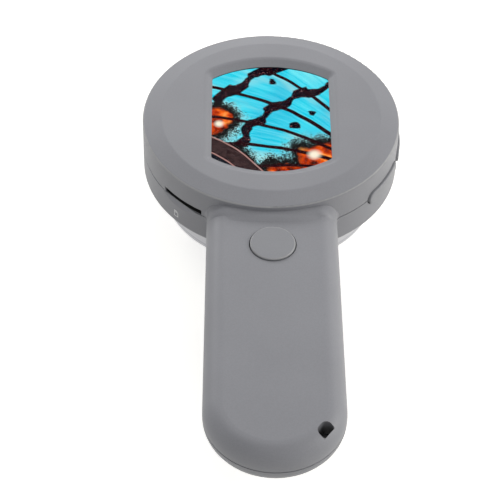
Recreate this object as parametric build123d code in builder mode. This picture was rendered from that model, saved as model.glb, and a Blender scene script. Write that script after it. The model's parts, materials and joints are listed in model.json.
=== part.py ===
from build123d import *
from math import asin, cos, degrees, hypot, pi, radians, sin, sqrt, tan
import os

# Hand-held LCD digital microscope: a round head with a screen on top, a flat
# handle, and a frosted hood that stands on the specimen.  Millimetres, +Z up.
# The origin is on the optical axis at the mouth of the hood, the specimen
# plane.  The handle runs towards -Y.

os.makedirs("parts", exist_ok=True)

# ---------------------------------------------------------------- dimensions
# Casing
panel_gap = 0.9             # corner of the display to the inside of the head
handle_length = 89.8        # edge of the head to the tip of the handle
handle_width = 38.5         # at the head
handle_flare = 0.35         # the tip is this much wider to each side
wall = 1.8
root_round = 2.6            # plan radius where the handle meets the head
root_lap = 0.08             # the handle's plan ends this far inside the head
lower_head_height = 9.7     # underside of the head to the parting line
bevel_rise = 1.4            # sloping border of the top face
bevel_width = 5.7
rim_round = 0.6
top_round = 2.0
base_round = 1.2
handle_rise = 6.6           # parting line to the top of the handle
handle_side = 1.1           # upright band between parting line and upper round
belly_side = 0.3            # and between parting line and lower round
collar_rise = 1.1           # ledge round the head on the root of the handle
collar_flat = 1.2           # flat top of the ledge beyond the head
collar_slope = 2.7          # soft slope from the ledge to the handle
collar_round = 6.2          # long edges of the ledge
collar_sink = 0.12          # the slope ends this far under the handle's surface
collar_sections = 12
collar_grading = 1.5        # crowds the sections towards the slope
least_sag = 0.01            # arch of the ledge's flattest sections
seam_reveal = 0.3           # height of the shadow groove round the parting line
seam_reveal_depth = 0.7
lip_height = 1.2            # tongue of the lower casing inside the upper one
lip_thickness = 0.8
seam_clearance = 0.1
overcut = 1.0               # cuts run this far past the face that they open
merge = 0.2                 # shapes that join run this far into each other

# Screen window
window_side_margin = 2.7    # edge of the display to the straight sides
window_end_margin = 4.15    # and to the tops of the arches
window_arch = 31.0          # radius of the arched top and bottom
window_corner = 1.2
recess_side = 1.9           # width of the sloping border at the sides
recess_arch = 2.6           # and at the arched ends
recess_depth = 1.5
recess_corner = 2.6
recess_edge_round = 2.0
cover_margin = 1.8          # glued border of the clear cover
cover_thickness = 0.8

# Display
gasket_thickness = 0.3
gasket_border = 0.8
screen_width = 41.6
screen_length = 56.0
screen_shift = -2.0         # the flex side of the panel is the longer one
glass_thickness = 1.2
backlight_thickness = 0.9
bracket_thickness = 1.1
bracket_gap = 1.0           # bracket to the inside of the head
bracket_ear = 8.7           # beyond each side of the display
bracket_end = 0.5           # and beyond each end
bracket_hole_width = 26.0
bracket_hole_length = 34.0
bracket_hole_corner = 3.0
bracket_screw_offset = 4.7  # side of the display to the screws
bracket_screw_bite = 2.0
board_headroom = 1.9        # main board to the display bracket
bracket_screw_inset = 12.0  # end of the display to the screws
backlight_corner = 1.0
screen_flex_width = 16.0
screen_connector_height = 1.0
screen_connector_depth = 3.5
flex_bulge = 2.6
flex_bend = 1.1
screen_connector_set = 1.7  # end of the display to the mouth of its connector
screen_connector_side = 1.0 # housing beyond each side of the flex

# Side keys
key_pair_angle = -13.75     # middle of the pair
key_web = 0.58              # wall left between the two openings
key_length = 18.0
key_height = 4.2
key_gap = 0.4
key_proud = 0.7
key_edge_round = 0.35
key_flange_border = 0.9     # flange above and below the cap
key_flange_inset = 0.4      # its ends are this far inside the ends of the cap
key_flange_thickness = 1.0
key_flange_clearance = 0.25

# Push button on the handle
button_setback = 12.3       # edge of the head to the middle of the button
button_radius = 6.6
button_proud = 0.6
button_edge_round = 0.4
button_gap = 0.28
button_travel = 0.5
button_skin = 1.3
button_wall = 1.1
button_flange_width = 1.0
button_flange_thickness = 1.0
button_stem_radius = 1.6
sleeve_wall = 1.3
sleeve_length = 0.9
sleeve_clearance = 0.3

# Memory-card slot and charging port
card_angle = -133.2
card_slot_width = 15.0
card_slot_low = 0.45        # below the parting line
card_slot_high = 1.8        # above it
scoop_turn = -2.2
scoop_depth = 0.8
scoop_height = 2.4
port_angle = 90.0
port_gap = 0.35

# Strap hole
strap_angle = -36.2         # about the centre of the rounded handle tip
strap_inset = 3.4           # edge of the handle to the middle of the hole
strap_depth = 3.15
strap_length = 4.9
strap_inner_round = 1.8
strap_outer_round = 0.8
strap_wall = 1.35

# Fasteners
case_screw_angles = (30.0, 62.0, 118.0, 180.0)
case_screw_inset = 3.8      # edge of the head to its screws
cell_screw_gap = 10.5       # end of the cell to the first handle screw
tip_screw_inset = 9.5       # tip of the handle to the second
boss_radius = 2.7
screw_head_well = 3.0       # depth of the counterbore
screw_head_radius = 2.1
screw_head_height = 1.3
screw_radius = 1.0
screw_bite = 4.5
screw_clearance = 0.15
well_wall = 1.1
pilot_clearance = 0.05
pilot_over = 0.5            # pilot holes are this much deeper than their screws
small_screw_radius = 0.7
small_head_radius = 1.5
small_head_height = 0.7
small_boss_radius = 2.2
board_screw_depth = 4.5
cross_length = 2.5
cross_width = 0.55
cross_depth = 0.7

# Electronics
main_board_gap = 2.0        # board to the inside of the head
main_board_thickness = 1.2
board_notch_clearance = 0.5
board_post_angles = (45.0, 135.0, -69.0, -111.0)
board_post_inset = 5.4      # edge of the board to its screws
post_radius = 2.5
side_switch_height = 3.0
side_switch_width = 6.0
side_switch_depth = 3.2
side_switch_set = 0.6       # edge of the board to the face of the switch
side_plunger_radius = 0.65
side_plunger_length = 1.9
side_plunger_set = 1.2      # length inside the switch at rest
side_plunger_well = 1.9
plunger_clearance = 0.15
key_nub_radius = 1.3
card_socket_width = 14.0
card_socket_length = 14.5
card_socket_height = 1.9
card_socket_set = 0.2       # edge of the board to the mouth of the socket
card_way_width = 11.4
card_way_height = 0.9
card_way_depth = 12.0
port_width = 8.94
port_height = 3.2
port_length = 7.3
port_set = 1.4              # edge of the head to the mouth of the port
port_wall = 0.3
tongue_width = 6.7
tongue_thickness = 0.7
tongue_length = 5.2
port_back = 0.9
board_connector_height = 1.8
board_connector_width = 8.0
board_connector_depth = 3.4
board_connector_y = 5.0
sensor_board_size = 20.0
sensor_board_thickness = 1.0
sensor_screw_offset = 8.0
sensor_size = 10.0
sensor_thickness = 1.0
filter_size = 8.0
filter_thickness = 0.5
filter_gap = 0.2            # filter to the sensor
pocket_gap = 0.25
holder_shelf = 0.6          # web between the filter and the barrel's bore
board_corner = 1.0
sensor_screw_tip = 1.0      # left under the tips of the sensor screws
sensor_pad_drop = 1.7
sensor_pad_radius = 2.0

# Handle electronics
button_board_gap = 2.5      # side of the board to the inside of the handle
button_board_length = 14.0
button_board_thickness = 0.8
button_board_rise = 1.3     # parting line to the top of the board
button_board_corner = 1.5
button_board_screw_inset = 2.5
button_board_screw_bite = 2.0
button_switch_size = 6.0
button_switch_height = 1.6
button_plunger_radius = 1.0
button_plunger_set = 0.6
button_plunger_well = 1.3
plunger_spare = 0.2         # gap left between stem and switch when pressed
cell_side_gap = 2.5         # side of the cell to the inside of the handle
cell_length = 40.0
cell_thickness = 4.0
cell_setback = 0.3          # edge of the head to the near end of the cell
cell_headroom = 0.5         # top of the cell to the parting line
cell_corner = 2.0
cell_round = 1.4
pad_thickness = 0.3
guard_board_length = 3.0
guard_board_inset = 2.0     # side of the cell to the side of its board
guard_board_thickness = 1.0
lead_radius = 0.45
lead_bend = 0.6
flex_thickness = 0.2
flex_lap = 2.0              # length soldered to the button board
flex_lead = 1.0             # straight run before each bend
handle_flex_x = 2.8
handle_flex_width = 4.0
handle_flex_lap = 5.0
rib_gap = 0.4
rib_thickness = 1.2
battery_connector_x = -3.6
lead_run = 2.7              # guard board to the face of the connector
battery_connector_width = 5.5
battery_connector_depth = 4.2
battery_connector_height = 2.5
lead_pitch = 2.0

# Hood and focus drive
hood_inset = 5.8            # edge of the head to the top of the hood
hood_taper = 0.4
hood_gap = 0.3
hood_rim = 1.4              # width of the foot
hood_mouth_depth = 4.0
hood_step = 0.4             # the bore is this much narrower than the mouth
hood_foot_round = 0.5
web_height = 4.5            # table to the underside of the diffusing web
web_thickness = 1.2
hub_wall = 1.4
hub_height = 4.0
hub_gap = 0.3
bead_clearance = 0.25
bead_height = 0.6
bead_above_lip = 0.4
lug_angle = -90.0
lug_width = 5.8             # degrees
lug_height = 0.9
lug_inset = 0.3             # from the faces of the hood's wall
stop_clearance = 0.3
stop_slack = 0.6            # degrees beyond the focus range
focus_turn = 60.0           # degrees to each side of rest
focus_travel = 1.0          # barrel movement to each side of rest
snap_ring_gap = 0.6         # ring to the bore of the hood
snap_ring_wall = 1.4
snap_ring_length = 4.5
snap_lip = 0.4
snap_lip_height = 0.7

# Lamp ring
lamp_board_gap = 1.7        # board to the snap ring
lamp_board_inner = 11.6
lamp_board_thickness = 1.2
lamp_board_drop = 2.5       # underside of the head to the board
lamp_count = 8
lamp_circle = 17.0
lamp_length = 3.5
lamp_width = 2.8
lamp_height = 0.9
lamp_gap = 0.9              # lamps to the diffusing web
lamp_pillar_inset = 3.5     # edge of the board to its screws
lamp_pillar_cap = 0.6       # left above the tips of its screws
lamp_pillar_angles = (30.0, 150.0, 270.0)
header_inset = 3.9          # edge of the board to the pins
header_pitch = 2.0
header_pin_radius = 0.32
header_block_width = 7.0
header_block_depth = 2.2
header_block_height = 2.2
header_gap = 0.3

# Objective
barrel_radius = 6.5
barrel_fit = 0.08           # running clearance in the holder
barrel_nose_length = 0.7    # barrel below the drive collar
drive_collar_radius = 8.5
drive_collar_rest = 1.6     # web to the drive collar at rest
drive_collar_height = 2.8
keyway_width = 2.6
keyway_floor = 7.2
dog_width = 2.0
dog_tip = 7.5
nose_radius = 5.6
lens_radius = 4.4
barrel_bore = 3.6
front_lens_thickness = 1.7
rear_lens_thickness = 1.9
retainer_height = 0.8
retainer_bore = 3.3
lens_land = 0.1             # flat of a lens inside the retainer bore
rear_lens_inset = 0.5
lens_crown = 0.45
lens_gap = 0.03
holder_wall = 2.0
holder_nose_gap = 0.2
holder_head_clearance = 0.3
holder_floor_clearance = 0.4

# --------------------------------------------------------- derived positions
handle_half = handle_width / 2
tip_radius = handle_half + handle_flare
inner_radius = hypot(screen_width / 2, screen_length / 2 - screen_shift) + panel_gap
head_radius = inner_radius + wall       # outside of the round head
handle_reach = head_radius + handle_length
tip_y = -(handle_reach - tip_radius)
taper = asin(handle_flare / (-tip_y - head_radius))
axis_half = tip_radius / cos(taper) + tip_y * tan(taper)    # handle's sides run on to here
web_top_z = web_height + web_thickness
lamp_board_z = web_top_z + lamp_gap + lamp_height
lamp_board_top_z = lamp_board_z + lamp_board_thickness
floor_height = lamp_board_top_z + lamp_board_drop
parting_z = floor_height + lower_head_height
board_bottom_z = parting_z + side_switch_height / 2
board_top_z = board_bottom_z + main_board_thickness
bracket_bottom_z = board_top_z + board_headroom
backlight_bottom_z = bracket_bottom_z + bracket_thickness
glass_bottom_z = backlight_bottom_z + backlight_thickness
gasket_bottom_z = glass_bottom_z + glass_thickness
cover_bottom_z = gasket_bottom_z + gasket_thickness
ceiling_z = cover_bottom_z + cover_thickness
top_z = ceiling_z + wall
rim_z = top_z - bevel_rise
handle_drop = wall + pad_thickness + cell_thickness + cell_headroom
handle_round = handle_rise - handle_side
belly_round = handle_drop - belly_side
handle_top_z = parting_z + handle_rise
handle_ceiling_z = handle_top_z - wall
handle_bottom_z = parting_z - handle_drop
handle_floor_z = handle_bottom_z + wall
head_floor_z = floor_height + wall
collar_top_z = handle_top_z + collar_rise
collar_crest = head_radius + collar_flat
collar_foot = collar_crest + collar_slope
strap_radius = tip_radius - strap_inset

window_half_width = screen_width / 2 - window_side_margin
window_apex = screen_length / 2 - window_end_margin
bracket_radius = inner_radius - bracket_gap
bracket_width = screen_width + 2 * bracket_ear
bracket_length = screen_length + 2 * bracket_end
bracket_screw_x = screen_width / 2 + bracket_screw_offset
bracket_screw_reach = screen_length / 2 - bracket_screw_inset
main_board_radius = inner_radius - main_board_gap
board_post_circle = main_board_radius - board_post_inset
side_switch_reach = main_board_radius - side_switch_set
card_socket_reach = main_board_radius - card_socket_set
port_reach = head_radius - port_set
key_pitch = degrees(2 * asin((key_length / 2 + key_gap) / inner_radius) + key_web / inner_radius)
key_angles = {"front": key_pair_angle - key_pitch / 2, "rear": key_pair_angle + key_pitch / 2}
case_screw_circle = head_radius - case_screw_inset

sensor_board_top_z = board_bottom_z - board_connector_height
sensor_board_z = sensor_board_top_z - sensor_board_thickness
sensor_z = sensor_board_z - sensor_thickness
filter_z = sensor_z - filter_gap - filter_thickness

button_reach = head_radius + button_setback
button_board_width = handle_width - 2 * wall - 2 * button_board_gap
button_board_screw_x = button_board_width / 2 - button_board_screw_inset
button_top_z = handle_top_z + button_proud
sleeve_end_z = handle_ceiling_z - sleeve_length
button_flange_top_z = sleeve_end_z - sleeve_clearance
button_flange_z = button_flange_top_z - button_flange_thickness
button_board_top_z = parting_z + button_board_rise
button_switch_top_z = button_board_top_z + button_switch_height
stem_end_z = button_switch_top_z + button_travel + plunger_spare
button_axis = Axis((0, -button_reach, 0), (0, 0, 1))

hood_top_z = floor_height - hood_gap
lip_low_z = floor_height - snap_ring_length
lip_high_z = lip_low_z + snap_lip_height
bead_low_z = lip_high_z + bead_above_lip
hood_top_radius = head_radius - hood_inset
hood_foot_radius = hood_top_radius - hood_taper
hood_mouth_radius = hood_foot_radius - hood_rim
hood_bore_radius = hood_mouth_radius - hood_step
snap_ring_radius = hood_bore_radius - snap_ring_gap
bead_radius = snap_ring_radius + bead_clearance
lamp_board_outer = snap_ring_radius - snap_ring_wall - lamp_board_gap
lamp_pillar_circle = lamp_board_outer - lamp_pillar_inset
header_y = lamp_board_outer - header_inset
hub_bore_radius = drive_collar_radius + hub_gap
lug_inner_radius = hood_bore_radius + lug_inset
lug_outer_radius = hood_top_radius - lug_inset
drive_collar_low = web_height + drive_collar_rest
barrel_bottom = drive_collar_low - barrel_nose_length
holder_bore_radius = barrel_radius + barrel_fit
holder_nose_radius = holder_bore_radius + holder_wall
holder_nose_z = drive_collar_low + drive_collar_height + focus_travel + holder_nose_gap
holder_bore_top_z = filter_z - holder_shelf
barrel_top = holder_bore_top_z - holder_head_clearance - focus_travel

cell_width = handle_width - 2 * wall - 2 * cell_side_gap
cell_reach = head_radius + cell_setback
cell_bottom_z = handle_floor_z + pad_thickness
battery_connector_y = -(cell_reach - guard_board_length - lead_run)
well_radius = screw_head_radius + screw_clearance
post_outer_radius = well_radius + well_wall


def on_circle(radius, angle):
    """Point at a radius and an angle about the optical axis."""
    return (radius * cos(radians(angle)), radius * sin(radians(angle)))


def ledge_height(reach):
    """Top of the ledge at a distance from the optical axis."""
    share = min(max((reach - collar_crest) / collar_slope, 0.0), 1.0)
    return collar_top_z - (collar_rise + collar_sink) * (1 - cos(pi * share)) / 2


def radial_plane(angle, reach=0.0, height=parting_z):
    """Upright plane that faces outwards: x runs round the head, y is up."""
    x, y = on_circle(reach, angle)
    out = (cos(radians(angle)), sin(radians(angle)), 0)
    along = (-sin(radians(angle)), cos(radians(angle)), 0)
    return Plane(origin=(x, y, height), x_dir=along, z_dir=out)


def meridian_plane(angle):
    """Upright plane through the optical axis: x runs outwards, y is up."""
    out = (cos(radians(angle)), sin(radians(angle)), 0)
    return Plane(origin=(0, 0, 0), x_dir=out, z_dir=(out[1], -out[0], 0))


def arched_face(half_width, apex, arch, corner):
    """Window outline: straight sides, arched top and bottom."""
    shoulder = apex - arch + sqrt(arch**2 - half_width**2)
    with BuildSketch() as face:
        with BuildLine():
            ThreePointArc((-half_width, shoulder), (0, apex), (half_width, shoulder))
            Line((half_width, shoulder), (half_width, -shoulder))
            ThreePointArc((half_width, -shoulder), (0, -apex), (-half_width, -shoulder))
            Line((-half_width, -shoulder), (-half_width, shoulder))
        make_face()
        fillet(face.vertices(), corner)
    return face.sketch


case_screw_spots = [on_circle(case_screw_circle, angle) for angle in case_screw_angles]
handle_screw_spots = [
    (0, -(cell_reach + cell_length + cell_screw_gap)),
    (0, -(handle_reach - tip_screw_inset)),
]
board_post_spots = [on_circle(board_post_circle, angle) for angle in board_post_angles]
bracket_screw_spots = [
    (side * bracket_screw_x, y)
    for side in (-1, 1)
    for y in (screen_shift + bracket_screw_reach, screen_shift - bracket_screw_reach)
]
button_board_spots = [(side * button_board_screw_x, -button_reach) for side in (-1, 1)]
sensor_screw_spots = [
    (sensor_screw_offset, -sensor_screw_offset),
    (-sensor_screw_offset, sensor_screw_offset),
]
lamp_pillar_spots = [on_circle(lamp_pillar_circle, angle) for angle in lamp_pillar_angles]

# ------------------------------------------------------------- casing sketches
# Plan of the casing: the round head, the handle and its rounded tip.
with BuildSketch() as outline:
    with BuildLine():
        Polyline(
            (axis_half, 0),
            (tip_radius * cos(taper), tip_y + tip_radius * sin(taper)),
            (-tip_radius * cos(taper), tip_y + tip_radius * sin(taper)),
            (-axis_half, 0),
            close=True,
        )
    make_face()
    with Locations((0, tip_y)):
        Circle(tip_radius)
    Circle(head_radius - root_lap)
    fillet(outline.vertices().group_by(Axis.Y)[1], root_round)

with BuildSketch() as inner_outline:
    offset(outline.sketch, amount=-wall)

with BuildSketch() as lip_outline:
    offset(outline.sketch, amount=-(wall - lip_thickness))

with BuildSketch() as groove_outline:
    offset(outline.sketch, amount=-(wall - lip_thickness - seam_clearance))

with BuildSketch() as reveal_ring:
    offset(outline.sketch, amount=root_lap + overcut)
    add(offset(outline.sketch, amount=-seam_reveal_depth, mode=Mode.PRIVATE), mode=Mode.SUBTRACT)

# The strap hole is a rounded D with its straight side towards the edge.
strap_plane = Plane(
    origin=(
        strap_radius * cos(radians(strap_angle)),
        tip_y + strap_radius * sin(radians(strap_angle)),
        0,
    ),
    x_dir=(cos(radians(strap_angle)), sin(radians(strap_angle)), 0),
    z_dir=(0, 0, 1),
)
with BuildSketch(strap_plane) as strap_hole:
    Rectangle(strap_depth, strap_length)
    fillet(strap_hole.vertices().group_by(Axis.X)[0], strap_inner_round)
    fillet(strap_hole.vertices().group_by(Axis.X)[-1], strap_outer_round)

with BuildSketch() as strap_post:
    offset(strap_hole.sketch, amount=strap_wall)

# --------------------------------------------------------------- upper casing
# Space inside the upper casing.
with BuildPart() as upper_core:
    with BuildSketch(Plane.XY.offset(parting_z)):
        add(inner_outline.sketch)
    extrude(amount=handle_rise - wall)
    fillet(upper_core.edges().group_by(Axis.Z)[-1], handle_round - wall)
    with BuildSketch(Plane.XZ):
        with BuildLine():
            Polyline(
                (0, parting_z),
                (inner_radius, parting_z),
                (inner_radius, rim_z - wall + rim_round),
                (head_radius - bevel_width, ceiling_z),
                (0, ceiling_z),
                close=True,
            )
        make_face()
    revolve(axis=Axis.Z)
    with BuildSketch(Plane.XY.offset(parting_z)):
        add(strap_post.sketch)
    extrude(amount=handle_rise, mode=Mode.SUBTRACT)

# Ledge on the root of the handle.  It follows the round head, and falls to
# the handle in a soft slope, so each section across it is a low arch.
with BuildPart() as collar:
    flat_half = handle_half - handle_round
    collar_start = inner_radius - 2 * wall
    for step in range(collar_sections + 1):
        back = (1 - step / collar_sections) ** collar_grading
        reach = collar_foot - back * (collar_foot - collar_start)
        half = axis_half + reach * tan(taper)
        middle_z = ledge_height(reach)
        sag = max(middle_z - ledge_height(hypot(flat_half, reach)), least_sag)
        arch = (flat_half**2 + sag**2) / (2 * sag)
        side_z = middle_z - arch + sqrt(arch**2 - half**2)
        fall = (collar_top_z - middle_z + sag) / (collar_rise + collar_sink)
        with BuildSketch(Plane.XZ.offset(reach)) as collar_section:
            with BuildLine():
                Polyline((half, side_z), (half, parting_z), (-half, parting_z), (-half, side_z))
                ThreePointArc((-half, side_z), (0, middle_z), (half, side_z))
            make_face()
            fillet(
                collar_section.vertices().group_by(Axis.Y)[-1],
                collar_round + fall * (handle_round + collar_sink - collar_round),
            )
    loft()

with BuildPart() as upper_casing:
    with BuildSketch(Plane.XY.offset(parting_z)):
        add(outline.sketch)
    extrude(amount=handle_rise)
    fillet(upper_casing.edges().group_by(Axis.Z)[-1], handle_round)
    add(collar.part)
    with BuildSketch(Plane.XZ) as head_profile:
        with BuildLine():
            Polyline(
                (0, parting_z),
                (head_radius, parting_z),
                (head_radius, rim_z),
                (head_radius - bevel_width, top_z),
                (0, top_z),
                close=True,
            )
        make_face()
        fillet(head_profile.vertices().group_by(Axis.X)[-1].sort_by(Axis.Y)[-1], rim_round)
        fillet(head_profile.vertices().sort_by(Axis.Y)[-2:].sort_by(Axis.X)[-1], top_round)
    revolve(axis=Axis.Z)
    # Hollow, and the groove that takes the tongue of the lower casing.
    add(upper_core.part, mode=Mode.SUBTRACT)
    with BuildSketch(Plane.XY.offset(parting_z)):
        add(groove_outline.sketch)
    extrude(amount=lip_height + seam_clearance, mode=Mode.SUBTRACT)
    # Screen opening with its sloping border.
    with BuildSketch(Plane.XY.offset(top_z - recess_depth)):
        add(arched_face(window_half_width, window_apex, window_arch, window_corner))
    with BuildSketch(Plane.XY.offset(top_z)):
        add(
            arched_face(
                window_half_width + recess_side,
                window_apex + recess_arch,
                window_arch + recess_arch,
                recess_corner,
            )
        )
    loft(ruled=True, mode=Mode.SUBTRACT)
    top_face = upper_casing.faces().sort_by(Axis.Z)[-1]
    fillet(top_face.inner_wires()[0].edges(), recess_edge_round)
    with BuildSketch(Plane.XY.offset(top_z)):
        add(arched_face(window_half_width, window_apex, window_arch, window_corner))
    extrude(amount=-2 * wall, mode=Mode.SUBTRACT)
    # Screw bosses and the button sleeve.
    with BuildSketch(Plane.XY.offset(parting_z)):
        with Locations(case_screw_spots):
            Circle(boss_radius)
    extrude(amount=ceiling_z - parting_z)
    with BuildSketch(Plane.XY.offset(parting_z)):
        with Locations(handle_screw_spots):
            Circle(boss_radius)
    extrude(amount=handle_ceiling_z - parting_z + merge)
    with BuildSketch(Plane.XY.offset(backlight_bottom_z)):
        with Locations(bracket_screw_spots):
            Circle(small_boss_radius)
    extrude(amount=ceiling_z - backlight_bottom_z)
    with BuildSketch(Plane.XY.offset(button_board_top_z)):
        with Locations(button_board_spots):
            Circle(small_boss_radius)
    extrude(amount=handle_ceiling_z - button_board_top_z + merge)
    with BuildSketch(Plane.XY.offset(sleeve_end_z)):
        with Locations((0, -button_reach)):
            Circle(button_radius + button_gap + sleeve_wall)
    extrude(amount=handle_ceiling_z - sleeve_end_z + merge)
    with BuildSketch(Plane.XY.offset(sleeve_end_z)):
        with Locations((0, -button_reach)):
            Circle(button_radius + button_gap)
    extrude(amount=handle_top_z - sleeve_end_z + overcut, mode=Mode.SUBTRACT)
    # Pilot holes.
    with BuildSketch(Plane.XY.offset(parting_z)):
        with Locations(case_screw_spots + handle_screw_spots):
            Circle(screw_radius + pilot_clearance)
    extrude(amount=screw_bite + merge, mode=Mode.SUBTRACT)
    with BuildSketch(Plane.XY.offset(backlight_bottom_z)):
        with Locations(bracket_screw_spots):
            Circle(small_screw_radius + pilot_clearance)
    extrude(amount=bracket_screw_bite + pilot_over, mode=Mode.SUBTRACT)
    with BuildSketch(Plane.XY.offset(button_board_top_z)):
        with Locations(button_board_spots):
            Circle(small_screw_radius + pilot_clearance)
    extrude(amount=button_board_screw_bite + pilot_over, mode=Mode.SUBTRACT)
    # Strap hole.
    with BuildSketch(Plane.XY.offset(parting_z)):
        add(strap_hole.sketch)
    extrude(amount=handle_rise + overcut, mode=Mode.SUBTRACT)
    # Openings through the side wall: keys, card slot and charging port.
    for angle in key_angles.values():
        with BuildSketch(radial_plane(angle, inner_radius - wall)):
            SlotOverall(key_length + 2 * key_gap, key_height + 2 * key_gap)
        extrude(amount=3 * wall, mode=Mode.SUBTRACT)
    with BuildSketch(radial_plane(card_angle, inner_radius - 2 * wall)):
        with Locations((0, (card_slot_high - card_slot_low) / 2)):
            Rectangle(card_slot_width, card_slot_high + card_slot_low)
    extrude(amount=4 * wall, mode=Mode.SUBTRACT)
    with BuildSketch(radial_plane(port_angle, inner_radius - wall, board_bottom_z - port_height / 2)):
        SlotOverall(port_width + 2 * port_gap, port_height + 2 * port_gap)
    extrude(amount=3 * wall, mode=Mode.SUBTRACT)
upper_casing.part.label = "upper_casing"
export_step(upper_casing.part, "parts/upper_casing.step")

# --------------------------------------------------------------- lower casing
# Space inside the lower casing.
with BuildPart() as lower_core:
    with BuildSketch(Plane.XY.offset(handle_floor_z)):
        add(inner_outline.sketch)
    extrude(amount=handle_drop - wall + lip_height + overcut)
    fillet(lower_core.edges().group_by(Axis.Z)[0], belly_round - wall)
    with BuildSketch(Plane.XY.offset(head_floor_z)):
        Circle(inner_radius)
    extrude(amount=lower_head_height)
    with BuildSketch(Plane.XY.offset(handle_bottom_z)):
        add(strap_post.sketch)
    extrude(amount=handle_drop, mode=Mode.SUBTRACT)

with BuildPart() as lower_casing:
    with BuildSketch(Plane.XY.offset(parting_z)):
        add(outline.sketch)
    extrude(amount=-handle_drop)
    fillet(lower_casing.edges().group_by(Axis.Z)[0], belly_round)
    with BuildSketch(Plane.XZ) as base_profile:
        with Locations((head_radius / 2, (floor_height + parting_z) / 2)):
            Rectangle(head_radius, lower_head_height)
        fillet(base_profile.vertices().group_by(Axis.X)[-1].sort_by(Axis.Y)[0], base_round)
    revolve(axis=Axis.Z)
    with BuildSketch(Plane.XY.offset(parting_z)):
        add(lip_outline.sketch)
    extrude(amount=lip_height)
    add(lower_core.part, mode=Mode.SUBTRACT)
    with BuildSketch(Plane.XY.offset(parting_z)):
        add(reveal_ring.sketch)
    extrude(amount=-seam_reveal, mode=Mode.SUBTRACT)
    # Screw posts, board posts and the rib that locates the cell.
    with BuildSketch(Plane.XY.offset(floor_height + wall / 2)):
        with Locations(case_screw_spots):
            Circle(post_outer_radius)
    extrude(amount=parting_z - floor_height - wall / 2)
    with BuildSketch(Plane.XY.offset(handle_bottom_z + wall / 2)):
        with Locations(handle_screw_spots):
            Circle(post_outer_radius)
    extrude(amount=handle_drop - wall / 2)
    with BuildSketch(Plane.XY.offset(floor_height + wall / 2)):
        with Locations(board_post_spots):
            Circle(post_radius)
    extrude(amount=board_bottom_z - floor_height - wall / 2)
    with BuildSketch(Plane.XY.offset(handle_bottom_z + wall / 2)):
        with Locations((0, -(cell_reach + cell_length + rib_gap + rib_thickness / 2))):
            Rectangle(cell_width - 2 * cell_round, rib_thickness)
    extrude(amount=cell_thickness)
    # Room for the upper bosses where they pass the tongue.
    with BuildSketch(Plane.XY.offset(parting_z)):
        with Locations(case_screw_spots + handle_screw_spots):
            Circle(boss_radius + board_notch_clearance)
        offset(strap_post.sketch, amount=seam_clearance, mode=Mode.ADD)
    extrude(amount=lip_height + seam_clearance, mode=Mode.SUBTRACT)
    # Ring that carries the hood, with its snap lip.
    with BuildSketch(Plane.XZ):
        with BuildLine():
            Polyline(
                (snap_ring_radius - snap_ring_wall, floor_height + wall / 2),
                (snap_ring_radius - snap_ring_wall, lip_low_z),
                (snap_ring_radius, lip_low_z),
                (snap_ring_radius + snap_lip, lip_low_z + snap_lip_height / 2),
                (snap_ring_radius + snap_lip, lip_high_z),
                (snap_ring_radius, lip_high_z),
                (snap_ring_radius, floor_height + wall / 2),
                close=True,
            )
        make_face()
    revolve(axis=Axis.Z)
    # Pillars for the lamp board and pads for the sensor screws.
    with BuildSketch(Plane.XY.offset(lamp_board_top_z)):
        with Locations(lamp_pillar_spots):
            Circle(small_boss_radius)
    extrude(amount=lamp_board_drop + wall / 2)
    with BuildSketch(Plane.XY.offset(floor_height - sensor_pad_drop)):
        with Locations(sensor_screw_spots):
            Circle(sensor_pad_radius)
    extrude(amount=sensor_pad_drop + wall / 2)
    # Opening for the objective and slot for the lamp header.
    with BuildSketch(Plane.XY.offset(head_floor_z)):
        Circle(holder_nose_radius + holder_floor_clearance)
        with Locations((0, header_y)):
            Rectangle(header_block_width + 2 * header_gap, header_block_depth + 2 * header_gap)
    extrude(amount=-(wall + lamp_board_drop), mode=Mode.SUBTRACT)
    # Groove for the stop lug of the hood.
    groove_sweep = 2 * focus_turn + lug_width + 2 * stop_slack
    with BuildSketch(meridian_plane(lug_angle - groove_sweep / 2)):
        with Locations(((lug_inner_radius + lug_outer_radius) / 2, floor_height)):
            Rectangle(
                lug_outer_radius - lug_inner_radius + 2 * stop_clearance,
                2 * (lug_height - hood_gap + stop_clearance),
            )
    revolve(axis=Axis.Z, revolution_arc=groove_sweep, mode=Mode.SUBTRACT)
    # Counterbored screw holes.
    for base_z, spots in ((floor_height, case_screw_spots), (handle_bottom_z, handle_screw_spots)):
        with BuildSketch(Plane.XY.offset(base_z)):
            with Locations(spots):
                Circle(well_radius)
        extrude(amount=screw_head_well, mode=Mode.SUBTRACT)
        with BuildSketch(Plane.XY.offset(base_z)):
            with Locations(spots):
                Circle(screw_radius + screw_clearance)
        extrude(amount=parting_z - base_z, mode=Mode.SUBTRACT)
    # Pilot holes for the board, sensor and lamp-board screws.
    with BuildSketch(Plane.XY.offset(board_bottom_z)):
        with Locations(board_post_spots):
            Circle(small_screw_radius + pilot_clearance)
    extrude(amount=-board_screw_depth - pilot_over, mode=Mode.SUBTRACT)
    with BuildSketch(Plane.XY.offset(head_floor_z)):
        with Locations(sensor_screw_spots):
            Circle(small_screw_radius + pilot_clearance)
    extrude(amount=-(wall + sensor_pad_drop - sensor_screw_tip + pilot_over), mode=Mode.SUBTRACT)
    with BuildSketch(Plane.XY.offset(lamp_board_top_z)):
        with Locations(lamp_pillar_spots):
            Circle(small_screw_radius + pilot_clearance)
    extrude(amount=lamp_board_drop, mode=Mode.SUBTRACT)
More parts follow.
